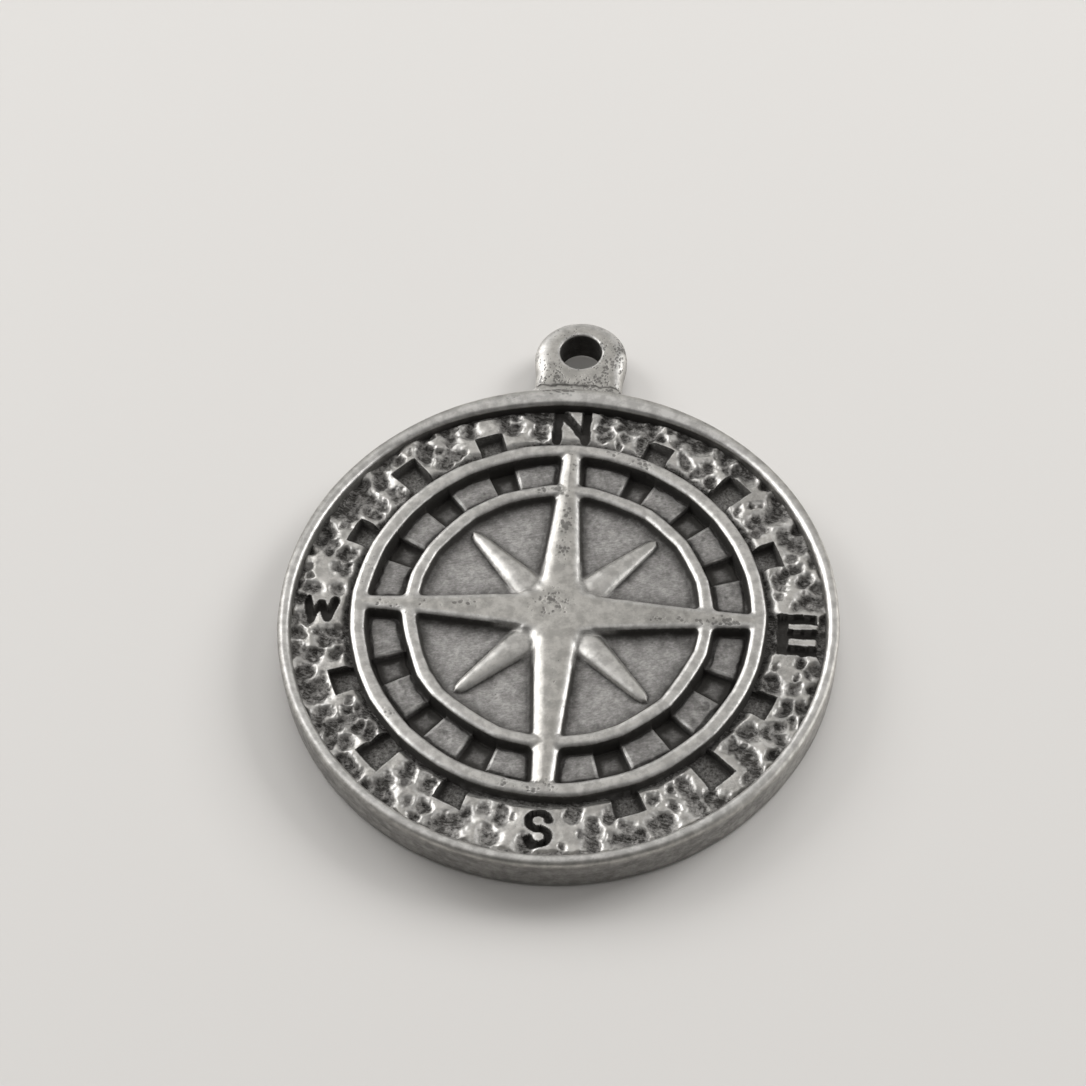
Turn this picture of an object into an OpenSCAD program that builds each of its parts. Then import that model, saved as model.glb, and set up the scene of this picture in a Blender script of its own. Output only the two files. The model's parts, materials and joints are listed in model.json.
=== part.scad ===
// Compass pendant: one casting of white metal, lying on its back.
// The origin is the middle of the disc on its back face. +Z points out of the face and
// +Y points north, towards the eye. The angle 0 is east and 90 is north.

/* [Disc] */
// Diameter of the disc over its rim
disc_d = 25; // [23:0.5:30]
// Thickness of the casting at the rim
disc_t = 2.1; // [1.8:0.1:3]
// Bevel on the disc's edge, front and back
edge_bevel = 0.22; // [0.1:0.02:0.3]

/* [Rim] */
// Width of the rim across its top
rim_w = 0.56; // [0.5:0.01:0.9]
// Bevel on the rim's inner edge
rim_bevel = 0.12; // [0.05:0.01:0.16]
// Extra width of the rim below the eye
rim_swell = 0.28; // [0.1:0.02:0.5]
// Angle from north at which the extra width has run out
rim_swell_angle = 38; // [25:1:50]

/* [Hammered band] */
// Width of the hammered band between the rim and the outer ring
band_w = 2.69; // [2.3:0.01:3.2]
// Depth of the band's ridges below the rim
band_drop = 0.34; // [0.2:0.02:0.5]
// Depth of the hammer dents below the ridges
dent_depth = 0.3; // [0.1:0.02:0.35]
// Size of one hammer dent
dent_size = 1.1; // [0.9:0.1:1.6]

/* [Compass rings] */
// Width of the outer ring
outer_ring_w = 0.66; // [0.4:0.02:0.9]
// Width of the track between the two rings
track_w = 1.69; // [1.2:0.01:2.2]
// Width of the inner ring
inner_ring_w = 0.6; // [0.4:0.02:0.9]
// Bevel on both edges of each ring's top
ring_bevel = 0.16; // [0.08:0.01:0.19]
// Depth of the rings' tops below the rim and the star
ring_drop = 0.04; // [0.02:0.01:0.1]

/* [Floor and pockets] */
// Depth of the floor and of the track's blocks below the rim
floor_drop = 0.56; // [0.5:0.02:0.8]
// Depth of the pockets below the floor
pocket_drop = 0.32; // [0.1:0.02:0.5]
// Width of a pocket across its middle
pocket_w = 1.3; // [0.8:0.05:1.6]
// Length of the short pockets in the band
short_pocket = 1.25; // [0.8:0.05:1.5]
// Length of the pocket in the band on each diagonal
long_pocket = 1.75; // [1.2:0.05:2]

/* [Star] */
// Width of a long point at the middle of the star
point_w = 2.1; // [1.6:0.1:2.6]
// Width of the flank on each side of a long point
point_bevel = 0.2; // [0.1:0.02:0.24]
// Width of a short ray where it is widest
ray_w = 1.3; // [1:0.1:2]
// Depth of a ray's ridge below the star's top, at its root
ray_drop = 0.14; // [0.05:0.01:0.3]
// Gap between a ray's tip and the inner ring
ray_gap = 0.3; // [0.1:0.05:0.6]

/* [Letters] */
// Height of the letters N and E
letter_h = 1.95; // [1.6:0.05:2.1]
// Width of the letters N and E
letter_w = 1.8; // [1.5:0.05:2]
// Width of a letter's strokes
stroke_w = 0.42; // [0.3:0.02:0.46]
// Distance of E and W below the line through the middle
letter_sag = 0.4; // [0:0.01:0.6]

/* [Eye] */
// Diameter of the hole for a jump ring
eye_hole_d = 2; // [1.5:0.1:2.4]
// Outer diameter of the eye
eye_d = 4.4; // [4.2:0.1:6]
// Thickness of the eye
eye_t = 1.65; // [1.4:0.05:1.75]
// Gap between the disc's edge and the hole
eye_reach = 1.45; // [1.2:0.05:2.5]
// Width of the neck between the eye and the disc
neck_w = 4.15; // [3:0.05:4.15]
// Bevel on the outer edges of the eye and the neck
eye_bevel = 0.45; // [0.2:0.05:0.5]
// Bevel on each lip of the hole
lip_bevel = 0.12; // [0.05:0.01:0.3]
// Radius of the fillet in each corner between the neck and the disc
neck_fillet = 1.2; // [0.6:0.1:1.6]

/* [Hidden] */
$fn = 96;
METAL = "silver";

// Amount by which the forms of the one casting run into each other
sink = 0.15;
// Slope of a cast wall, as width gained down to its foot
draft = 0.07;

// Heights above the back face
top_z = disc_t;
ring_z = top_z - ring_drop;
ridge_z = top_z - band_drop;
floor_z = top_z - floor_drop;
pocket_z = floor_z - pocket_drop;
bed_z = min(pocket_z, ridge_z - dent_depth) - sink;
eye_z = (disc_t - eye_t) / 2;

// Radii from the edge inwards
disc_r = disc_d / 2;
rim_r = disc_r - rim_w;
outer_ring_r = rim_r - band_w;
track_r = outer_ring_r - outer_ring_w;
inner_ring_r = track_r - track_w;
floor_r = inner_ring_r - inner_ring_w;
band_mid_r = (rim_r + outer_ring_r) / 2;

// Distance of the eye's hole from the middle
eye_y = disc_r + eye_reach + eye_hole_d / 2;

// The pockets of one quarter: angle, and length in the band
POCKETS = [[22.5, short_pocket], [45, long_pocket], [67.5, short_pocket]];

// A long point of the star: distance along it, and width, as shares of its reach and point_w
POINT = [[0.13, 1], [0.3, 0.84], [0.53, 0.63], [0.78, 0.45], [1, 0.36]];

// A short ray: distance along it, width, and height of its ridge, as shares of its largest
RAY = [[0, 1, 1], [0.25, 1, 1], [0.93, 0.4, 0.35]];

// The letters' widths and heights, as shares of letter_w and letter_h
SIZE_N = [0.97, 1];
SIZE_E = [1, 1];
SIZE_W = [0.85, 0.72];
SIZE_S = [0.64, 0.86];

// The section of a raised ring with bevelled edges, from its outer foot to its inner foot
function ring_section(outer_r, width, outer_foot_z, inner_foot_z) = [
    [outer_r + draft, outer_foot_z],
    [outer_r, ring_z - ring_bevel],
    [outer_r - ring_bevel, ring_z],
    [outer_r - width + ring_bevel, ring_z],
    [outer_r - width, ring_z - ring_bevel],
    [outer_r - width - draft, inner_foot_z]
];

// The round forms in one: back, edge, rim, bed of the band, both rings, track and floor
module turned_disc() {
    edge = [
        [0, 0],
        [disc_r - edge_bevel, 0],
        [disc_r, edge_bevel],
        [disc_r, top_z - edge_bevel],
        [disc_r - edge_bevel, top_z]
    ];
    rim = [[rim_r + rim_bevel, top_z], [rim_r, top_z - rim_bevel], [rim_r - draft, bed_z]];
    rotate_extrude()
        polygon(concat(
            edge,
            rim,
            ring_section(outer_ring_r, outer_ring_w, bed_z, floor_z),
            ring_section(inner_ring_r, inner_ring_w, floor_z, floor_z),
            [[0, floor_z]]
        ));
}

// The crescent that widens the rim below the eye: what a flatter arc leaves of a round plate
module rim_crescent() {
    half_chord = rim_r * sin(rim_swell_angle);
    rise = rim_r - rim_swell - rim_r * cos(rim_swell_angle);
    arc_r = (pow(half_chord, 2) + pow(rise, 2)) / (2 * rise);
    arc_y = rim_r - rim_swell - arc_r;
    difference() {
        translate([0, 0, bed_z - sink]) cylinder(r = rim_r + rim_w / 2, h = top_z - bed_z + sink);
        translate([0, arc_y, 0]) cylinder(r = arc_r, h = 2 * top_z);
        translate([0, arc_y, top_z - rim_bevel])
            cylinder(r1 = arc_r, r2 = arc_r + 2 * rim_bevel, h = 2 * rim_bevel);
    }
}

// A value from 0 to 1 that looks random but is the same on every build
function scatter(i, j) = let(s = sin(i * 127.1 + j * 311.7) * 437.585) s - floor(s);

// The height of the hammered ground at one point of its grid: every second point is a dent
function ground_z(i, j) =
    ridge_z - dent_depth * ((i + j) % 2 == 0 ? 0.6 + 0.4 * scatter(i, j) : 0.25 * scatter(i, j));

// The hammered ground of the band, as a ring of facets half a dent wide
module hammered_ground() {
    inner_r = outer_ring_r - outer_ring_w / 2;
    outer_r = rim_r + rim_w / 3;
    rows = max(3, round((outer_r - inner_r) / (dent_size / 2)));
    columns = 2 * round(PI * (inner_r + outer_r) / dent_size);
    function spot(i, j, z) =
        let(r = inner_r + (outer_r - inner_r) * j / rows, angle = 360 * i / columns)
        [r * cos(angle), r * sin(angle), z];
    grid = [for (j = [0:rows], i = [0:columns - 1]) spot(i, j, ground_z(i, j))];
    foot = [for (j = [0, rows], i = [0:columns - 1]) spot(i, j, bed_z - sink)];
    function top(i, j) = j * columns + i % columns;
    function low(i, side) = len(grid) + side * columns + i % columns;
    ground = [
        for (j = [0:rows - 1], i = [0:columns - 1])
            for (half = [[top(i + 1, j + 1), top(i, j + 1)], [top(i + 1, j), top(i + 1, j + 1)]])
                concat(top(i, j), half)
    ];
    walls = [
        for (i = [0:columns - 1])
            for (face = [
                [low(i, 0), low(i + 1, 0), top(i + 1, 0), top(i, 0)],
                [low(i + 1, 1), low(i, 1), top(i, rows), top(i + 1, rows)],
                [low(i + 1, 1), low(i + 1, 0), low(i, 0), low(i, 1)]
            ])
                face
    ];
    polyhedron(concat(grid, foot), concat(ground, walls), convexity = 6);
}

// One pocket between two radii: as wide as pocket_w across its middle
module pocket(inner_r, outer_r) {
    angle = pocket_w / (PI * (inner_r + outer_r)) * 360;
    rotate(-angle / 2)
        translate([0, 0, pocket_z])
            rotate_extrude(angle = angle)
                translate([inner_r, 0]) square([outer_r - inner_r, top_z]);
}

// The pockets of the track and of the band, three in each quarter
module pockets() {
    for (quarter = [0:90:270], row = POCKETS)
        rotate(quarter + row[0]) {
            pocket(inner_ring_r + draft / 2, track_r - draft / 2);
            pocket(outer_ring_r + draft / 2, outer_ring_r + row[1]);
        }
}

// A straight stroke of a letter between two points, with round ends
module stroke(from, to) {
    along = to - from;
    translate(from) circle(d = stroke_w);
    translate(to) circle(d = stroke_w);
    translate(from)
        rotate(atan2(along[1], along[0]))
            translate([0, -stroke_w / 2]) square([norm(along), stroke_w]);
}

// A letter of straight strokes along runs of corners, in shares of its half width and height
module straight_letter(size, runs) {
    half_w = (size[0] * letter_w - stroke_w) / 2;
    half_h = (size[1] * letter_h - stroke_w) / 2;
    for (run = runs, k = [0:len(run) - 2])
        stroke([run[k][0] * half_w, run[k][1] * half_h], [run[k + 1][0] * half_w, run[k + 1][1] * half_h]);
}

// The letter S: two open rounds above each other
module letter_s() {
    round_r = (SIZE_S[1] * letter_h - stroke_w) / 4;
    for (turn = [0, 180])
        rotate(turn)
            translate([0, round_r])
                difference() {
                    circle(round_r + stroke_w / 2);
                    circle(round_r - stroke_w / 2);
                    translate([0, -2 * round_r]) square(2 * round_r);
                }
}

// The four cardinal letters as cutters, all upright
module letters() {
    translate([0, 0, pocket_z])
        linear_extrude(top_z) {
            translate([0, band_mid_r]) straight_letter(SIZE_N, [[[-1, -1], [-1, 1], [1, -1], [1, 1]]]);
            translate([band_mid_r, -letter_sag])
                straight_letter(SIZE_E, [[[1, 1], [-1, 1], [-1, -1], [1, -1]], [[-1, 0], [0.9, 0]]]);
            translate([-band_mid_r, -letter_sag])
                straight_letter(SIZE_W, [[[-1, 1], [-0.5, -1], [0, 0.7], [0.5, -1], [1, 1]]]);
            translate([0, -band_mid_r]) letter_s();
        }
}

// The outline of the four long points, each side moved inwards by the inset
function star_outline(inset) =
    let(reach = track_r + outer_ring_w / 2, last = len(POINT) - 1)
    [
        for (turn = [0:90:270])
            for (side = [-1, 1], k = [0:last])
                let(
                    row = POINT[side < 0 ? k : last - k],
                    half = row[1] * point_w / 2 - inset,
                    in_corner = row == POINT[0],
                    x = in_corner ? half : row[0] * reach,
                    y = side * half
                )
                if (!in_corner || side > 0)
                    [x * cos(turn) - y * sin(turn), x * sin(turn) + y * cos(turn)]
    ];

// The four long points in one, with a flat top and a sloping flank along each edge
module long_points() {
    levels = [[floor_z - sink, -draft], [top_z - point_bevel, 0], [top_z, point_bevel]];
    count = len(star_outline(0));
    points = [
        for (level = levels, p = star_outline(level[1]))
            [p[0], p[1], level[0]]
    ];
    sides = [
        for (k = [0:len(levels) - 2], i = [0:count - 1])
            let(a = k * count + i, b = k * count + (i + 1) % count)
            for (face = [[a, a + count, b + count], [a, b + count, b]])
                face
    ];
    bottom = [for (i = [0:count - 1]) i];
    cap = [for (i = [count - 1:-1:0]) 2 * count + i];
    polyhedron(points, concat([bottom, cap], sides), convexity = 6);
}

// One short ray: a ridge between two facets that runs down to the floor at a blunt tip
module short_ray() {
    root = point_w / 4;
    reach = floor_r - ray_gap - root;
    foot_z = floor_z - sink;
    last = len(RAY) - 1;
    right = [for (row = RAY) [root + row[0] * reach, -row[1] * ray_w / 2, foot_z]];
    ridge = [for (row = RAY) [root + row[0] * reach, 0, floor_z + row[2] * (top_z - ray_drop - floor_z)]];
    left = [for (row = RAY) [root + row[0] * reach, row[1] * ray_w / 2, foot_z]];
    tip = 3 * (last + 1);
    function r(k) = k;
    function c(k) = last + 1 + k;
    function l(k) = 2 * (last + 1) + k;
    facets = [
        for (k = [0:last - 1])
            for (face = [
                [r(k), c(k), c(k + 1)],
                [r(k), c(k + 1), r(k + 1)],
                [l(k), l(k + 1), c(k + 1)],
                [l(k), c(k + 1), c(k)]
            ])
                face
    ];
    ends = [[r(0), l(0), c(0)], [r(last), c(last), tip], [l(last), tip, c(last)]];
    bottom = concat([for (k = [0:last]) r(k)], [tip], [for (k = [last:-1:0]) l(k)]);
    polyhedron(
        concat(right, ridge, left, [[root + reach, 0, foot_z]]),
        concat([bottom], ends, facets),
        convexity = 2
    );
}

// Half the eye's section from its middle outwards, with a bevel on both outer edges
module eye_section(half_w) {
    polygon([
        [0, 0],
        [half_w - eye_bevel, 0],
        [half_w, eye_bevel],
        [half_w, eye_t - eye_bevel],
        [half_w - eye_bevel, eye_t],
        [0, eye_t]
    ]);
}

// The neck from the rim to the middle of the eye
module neck() {
    foot_y = disc_r - rim_w / 2;
    for (side = [0, 1])
        mirror([side, 0, 0])
            translate([0, eye_y, eye_z])
                rotate([90, 0, 0])
                    linear_extrude(eye_y - foot_y) eye_section(neck_w / 2);
}

// The two webs that fill the corners between the neck and the disc with a round
module neck_fillets() {
    bite = 0.04;
    inside_x = neck_w / 2 - sink;
    x = neck_w / 2 + neck_fillet - bite;
    y = sqrt(pow(disc_r + neck_fillet - bite, 2) - pow(x, 2));
    inwards = (disc_r - sink) / norm([x, y]);
    for (side = [0, 1])
        mirror([side, 0, 0])
            translate([0, 0, eye_z + eye_bevel / 2])
                linear_extrude(eye_t - eye_bevel)
                    difference() {
                        polygon([[inside_x, disc_r - 2 * sink], [x * inwards, y * inwards], [x, y], [inside_x, y]]);
                        translate([x, y]) circle(neck_fillet);
                    }
}

// The hole for a jump ring, with a bevel on each lip
module eye_hole() {
    hole_r = eye_hole_d / 2;
    translate([0, eye_y, 0]) {
        translate([0, 0, eye_z - sink]) cylinder(r = hole_r, h = eye_t + 2 * sink);
        for (side = [0, 1])
            translate([0, 0, disc_t / 2])
                mirror([0, 0, side])
                    translate([0, 0, eye_t / 2 - lip_bevel])
                        cylinder(r1 = hole_r, r2 = hole_r + 2 * lip_bevel, h = 2 * lip_bevel);
    }
}

// The plain forms in one, before the band is hammered and the pockets are sunk
module blank() {
    turned_disc();
    long_points();
    for (turn = [45:90:315]) rotate(turn) short_ray();
    translate([0, eye_y, eye_z]) rotate_extrude() eye_section(eye_d / 2);
    neck();
    neck_fillets();
}

// The whole casting
module pendant() {
    color(METAL)
        difference() {
            union() {
                difference() {
                    union() {
                        blank();
                        hammered_ground();
                    }
                    pockets();
                    letters();
                }
                rim_crescent();
            }
            eye_hole();
        }
}

pendant();
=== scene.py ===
# %% [markdown]
# # A cast compass pendant in antique silver
# The real pendant is one casting of white metal. It was dipped in a black oxide and then rubbed, so that
# the raised forms shine and the sunk ones stay dark. Here it is dressed with five closed surfaces that
# run into each other: the body with its rim, the hammered band, the star, the rings and the eye. Each one
# is a formula on a grid of points, because relief of this kind is a height above a flat back.

# %% The frame, the units and the imported solid
import json
import math

import bpy
import numpy as np
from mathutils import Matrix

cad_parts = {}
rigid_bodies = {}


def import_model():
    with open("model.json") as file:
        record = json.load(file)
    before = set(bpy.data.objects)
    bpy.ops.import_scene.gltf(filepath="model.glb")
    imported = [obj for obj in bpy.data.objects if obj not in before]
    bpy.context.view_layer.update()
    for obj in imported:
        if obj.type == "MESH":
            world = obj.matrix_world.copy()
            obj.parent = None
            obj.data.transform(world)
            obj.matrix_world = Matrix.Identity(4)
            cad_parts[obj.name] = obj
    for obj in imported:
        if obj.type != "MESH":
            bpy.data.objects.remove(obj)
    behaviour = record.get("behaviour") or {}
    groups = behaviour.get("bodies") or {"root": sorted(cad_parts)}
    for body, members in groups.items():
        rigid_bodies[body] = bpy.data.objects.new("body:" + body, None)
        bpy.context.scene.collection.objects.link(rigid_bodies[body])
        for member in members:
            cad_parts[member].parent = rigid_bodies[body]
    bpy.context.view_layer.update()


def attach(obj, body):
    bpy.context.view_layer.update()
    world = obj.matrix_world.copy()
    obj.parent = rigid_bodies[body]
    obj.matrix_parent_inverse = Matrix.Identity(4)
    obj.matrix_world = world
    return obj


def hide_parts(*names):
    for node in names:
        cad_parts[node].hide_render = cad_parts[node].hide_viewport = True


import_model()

MM = 0.001

# %% [markdown]
# ## The camera
# The camera looks down at the face from the south, 56 degrees above the table. It could be placed by
# trial, but the pendant's circles fix it: a circle seen at an angle is an ellipse, and several circles
# about one middle leave only one camera. A long lens about 10 cm away gives the slight narrowing.

# %% Camera
camera_data = bpy.data.cameras.new("camera")
camera_data.lens = 72.547
camera_data.sensor_width = 36.0
camera_data.clip_start = 0.001
camera_data.clip_end = 20.0
camera = bpy.data.objects.new("camera", camera_data)
camera.location = (5.7747 * MM, -52.0377 * MM, 84.1035 * MM)
camera.rotation_euler = [math.radians(turn) for turn in (34.2747, 1.5814, 4.5573)]
bpy.context.scene.collection.objects.link(camera)
bpy.context.scene.camera = camera
print("camera", round(camera.location.length, 4), "m from the middle of the back")

# %% [markdown]
# ## Tools for relief
# A smooth step, a rounded maximum and two kinds of noise are enough to shape cast metal. Ready-made
# textures could displace a mesh too, but numpy arrays can be measured, joined and reused as masks.

# %% Steps, rounded joins and noise
LATTICE = np.random.default_rng(7).uniform(-1, 1, (256, 256))
print("noise: a lattice of", LATTICE.shape, "random heights")


def step(value, low, high):
    """0 below low and 1 above high, with the smooth curve 3t^2 - 2t^3 between them."""
    t = np.clip((value - low) / (high - low), 0, 1)
    return t * t * (3 - 2 * t)


def soft_max(a, b, width):
    """The larger of a and b, raised by a parabola where they differ by less than the width."""
    near = np.maximum(width - np.abs(a - b), 0) / width
    return np.maximum(a, b) + near * near * width / 4


def noise(x, y, size, seed=0):
    """Random heights from -1 to 1 on a lattice of squares, blended smoothly between four corners."""
    u = x / size + 17.3 * seed
    v = y / size - 9.1 * seed
    i = np.floor(u).astype(int)
    j = np.floor(v).astype(int)
    s = step(u - i, 0, 1)
    t = step(v - j, 0, 1)
    low = LATTICE[i % 256, j % 256] * (1 - s) + LATTICE[(i + 1) % 256, j % 256] * s
    high = LATTICE[i % 256, (j + 1) % 256] * (1 - s) + LATTICE[(i + 1) % 256, (j + 1) % 256] * s
    return low * (1 - t) + high * t


def rough(x, y, size, layers=3, seed=0):
    """A sum of noises, each half the size and half the strength of the one before."""
    return sum(noise(x, y, size / 2**k, seed + 3 * k) / 2**k for k in range(layers))


# %% [markdown]
# ## From arrays to a piece
# A grid of points becomes quads between neighbours. Closed surfaces join their last row or column to
# the first. A surface's signed volume shows whether its faces point outwards: if it is negative, every
# face is turned round. A quad that crosses a wall is cut along the diagonal that stays level, or the
# wall's edge would look like a saw. Masks travel with the points, for the finish to read later.

# %% Quads, volume and the finished piece
def quads(index, wrap_rows=False, wrap_columns=False):
    """The four corners of each cell in an array of point numbers, closed in a ring where asked."""
    if wrap_rows:
        index = np.vstack([index, index[:1]])
    if wrap_columns:
        index = np.hstack([index, index[:, :1]])
    corners = [index[:-1, :-1], index[:-1, 1:], index[1:, 1:], index[1:, :-1]]
    return np.stack(corners, -1).reshape(-1, 4)


def signed_volume(points, cells):
    """A sixth of the sum of the triple products of each triangle, two triangles to a quad."""
    a, b, c, d = (points[cells[:, k]] for k in range(4))
    return float((np.cross(a, b) * c).sum() + (np.cross(a, c) * d).sum()) / 6


def split_cells(points, cells):
    """Two triangles to a quad, cut along the first diagonal unless the other one is much more level."""
    a, b, c, d = cells.T
    z = points[:, 2]
    first = (np.abs(z[a] - z[c]) <= np.abs(z[b] - z[d]) + 0.015)[:, None]
    one = np.where(first, np.stack([a, b, c], -1), np.stack([a, b, d], -1))
    two = np.where(first, np.stack([a, c, d], -1), np.stack([b, c, d], -1))
    return np.vstack([one, two])


def add_piece(name, points, cells, masks, caps=(), skirt=()):
    """Makes a mesh of points in millimetres, with one value a point per mask; caps and skirt stay flat."""
    smooth = split_cells(points, cells).tolist()
    faces = smooth + [list(cap) for cap in (*caps, *skirt)]
    mesh = bpy.data.meshes.new(name)
    mesh.from_pydata((points * MM).tolist(), [], faces)
    mesh.polygons.foreach_set("use_smooth", np.arange(len(faces)) < len(smooth))
    for label, values in masks.items():
        layer = mesh.attributes.new(label, "FLOAT", "POINT")
        layer.data.foreach_set("value", np.clip(values, 0, 1).ravel().astype(np.float32))
    mesh.update()
    piece = bpy.data.objects.new(name, mesh)
    bpy.context.scene.collection.objects.link(piece)
    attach(piece, "root")
    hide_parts("pendant")
    triangles = sum(len(face) - 2 for face in faces)
    low = points.min(0).round(3).tolist()
    high = points.max(0).round(3).tolist()
    print(name, triangles, "triangles, from", low, "to", high, "mm")
    return piece


# %% [markdown]
# ## Walls that stay sharp on a grid
# A grid draws a slanting wall as a row of saw teeth. A finer grid only makes the teeth smaller. Here the
# points nearest to a wall's top edge and foot are slid onto them instead, along the slope of the
# distance to the wall, so that a grid of modest size gives a clean line.

# %% Sliding grid points onto an edge
def slide_to(x, y, distance, lines, reach):
    """Moves each point within reach of a line, a value of the distance field, straight onto it."""
    nudge = 1e-4
    for _ in range(2):
        here = distance(x, y)
        slope_x = (distance(x + nudge, y) - here) / nudge
        slope_y = (distance(x, y + nudge) - here) / nudge
        steep = np.maximum(slope_x**2 + slope_y**2, 0.3)
        shift = np.zeros_like(here)
        for line in lines:
            shift = np.where(np.abs(here - line) < reach, line - here, shift)
        x = x + shift * slope_x / steep
        y = y + shift * slope_y / steep
    return x, y


# %% [markdown]
# ## The compass rose
# The rose is a star of four long points and four short rays inside two rings. It could be a star mesh
# laid on tubes, but the casting has small fillets where points and rings meet. One field of distances
# to the nearest edge, joined with the rounded maximum, gives those fillets without any modelling.

# %% Sizes of the rose, in millimetres
TOP = 2.1
RING_TOP = 2.06
FLOOR = 1.54
POCKET = 1.22
HIDDEN = 0.95
WALL = 0.1
FILLET = 0.26
RING_MIDDLES = (8.92, 6.6)
RING_HALVES = (0.33, 0.3)
# Corners in the outline of each ring, which is cut by hand, and how far they stand out
RING_CORNERS = (27, 19)
RING_WAVES = (0.02, 0.045)
# Width and depth of the worn shoulder of a ring, of a level point and of an upright point
RING_SHOULDER = (0.23, 0.13)
LEVEL_SHOULDER = (0.21, 0.11)
UPRIGHT_SHOULDER = (0.54, 0.26)
POINT_REACH = 8.95
POINT_ROOT = 1.03
POINT_JOIN = 0.3
# Half widths of the east, north, west and south points: at the root and at the outer ring
POINT_HALVES = ((1.0, 0.37), (0.99, 0.43), (0.95, 0.33), (1.03, 0.49))
POCKET_ANGLES = np.radians([21.5, 44, 66.5, 112.5, 135.5, 157.5, 203.5, 226, 247.5, 291.5, 314, 336])
POCKET_HALF = 0.635
TRACK_MIDDLE = 7.745
TRACK_HALF = 0.95
RAY_REACH = 6.2
# Stands for a distance far outside an edge
FAR = -9.0
print("rose: floor", round(TOP - FLOOR, 2), "mm and pockets", round(TOP - POCKET, 2), "mm below the rim")


# %% Hand-cut rings and long points as distances to their edges
def hand_cut(angle, corners, depth, seed):
    """How far a ring cut by hand leaves its circle, in straight runs between uneven corners: depth
    times 1 - 4a(1 - a) times the square of the run's length over the mean one, a growing along it."""
    chance = np.random.default_rng(seed)
    spots = (np.arange(corners) + chance.uniform(-0.28, 0.28, corners)) * 2 * np.pi / corners
    spots = np.concatenate([spots, [spots[0] + 2 * np.pi]])
    turn = (angle - spots[0]) % (2 * np.pi) + spots[0]
    k = np.clip(np.searchsorted(spots, turn, side="right") - 1, 0, corners - 1)
    length = spots[k + 1] - spots[k]
    along = (turn - spots[k]) / length
    return depth * (1 - 4 * along * (1 - along) * (length * corners / (2 * np.pi)) ** 2)


def ring_edge(x, y, which):
    """Distance inwards from the edges of a ring: half its width less the distance to its middle."""
    angle = np.arctan2(y, x)
    wave = hand_cut(angle, RING_CORNERS[which], RING_WAVES[which], 5 + which)
    width = RING_HALVES[which] + 0.02 * noise(np.cos(angle) * 5, np.sin(angle) * 5, 1.0, 11 + which)
    return width - np.abs(np.hypot(x, y) - RING_MIDDLES[which] - wave)


def points_edge(x, y):
    """Distance inwards from the edges of the four long points: half width less distance to the axis.
    The half width grows from tip to root with the 1.4th power of the way."""
    whole = np.full_like(x, -50.0)
    for k, (root, tip) in enumerate(POINT_HALVES):
        turn = k * np.pi / 2
        along = x * np.cos(turn) + y * np.sin(turn)
        across = y * np.cos(turn) - x * np.sin(turn)
        share = np.clip((POINT_REACH - along) / (POINT_REACH - POINT_ROOT), 0, 1.06)
        half = tip + (root - tip) * share**1.4
        inward = np.minimum(half - np.abs(across), np.minimum(POINT_REACH - along, along + 1.5))
        whole = soft_max(whole, inward, POINT_JOIN)
    return whole


def rose_edge(x, y):
    """Distance inwards from the edge of everything raised in the rose, with filleted joins."""
    rings = np.maximum(ring_edge(x, y, 0), ring_edge(x, y, 1))
    return soft_max(points_edge(x, y), rings, FILLET)


# %% [markdown]
# ## Pockets between the rings
# Twelve square pockets are sunk in the track, with blocks left between them. Cutting them with Boolean
# modifiers would leave ragged triangles. A pocket is again a distance, here from its two radial sides.

# %% Pockets of the track, and the short rays
def pocket_edge(x, y, middle_r, half):
    """Distance inwards from the radial sides of the nearest pocket, measured along the arc."""
    angle = np.arctan2(y, x) % (2 * np.pi)
    turn = (angle[..., None] - POCKET_ANGLES + np.pi) % (2 * np.pi) - np.pi
    arc = np.abs(turn) * middle_r
    lean = 0.05 * np.sin(9 * POCKET_ANGLES)
    return (half + lean - arc).max(-1)


# Half width and crest of a short ray, in millimetres, at some distances along it from the middle
RAY_HALF = ([0, 1.7, 2.4, 3.6, 5.5, 5.78, 5.92, 6.0], [0.7, 0.74, 0.71, 0.55, 0.31, 0.22, 0.05, -0.1])
RAY_CREST = ([0, 1.3, 2.0, 2.8, 5.2, 5.92], [0.2, 0.26, 0.37, 0.45, 0.31, 0.18])


def ray_height(x, y):
    """Height of the short rays and distance inwards from their sides: crest times (1 - t^2.1)^0.62,
    where t is the distance from the ray's axis as a share of the half width."""
    turned = np.arctan2(y, x)
    corner = np.floor(turned / (np.pi / 2)) * np.pi / 2 + np.pi / 4
    along = x * np.cos(corner) + y * np.sin(corner)
    across = np.abs(y * np.cos(corner) - x * np.sin(corner))
    half = np.interp(along, *RAY_HALF)
    crest = np.interp(along, *RAY_CREST)
    t = np.clip(across / np.maximum(half, 0.02), 0, 1)
    return crest * (1 - t**2.1) ** 0.62, half - across


def shoulder(inward, width, depth):
    """Depth of a worn edge below the flat: depth times 1 - (1 - t^p)^(1/p), t growing outwards.
    With p = 1 this is a straight chamfer and with p = 2 a quarter round; this one lies between."""
    power = 1.8
    t = np.clip(1 - inward / width, 0, 1)
    return depth * (1 - (1 - t**power) ** (1 / power))
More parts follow.
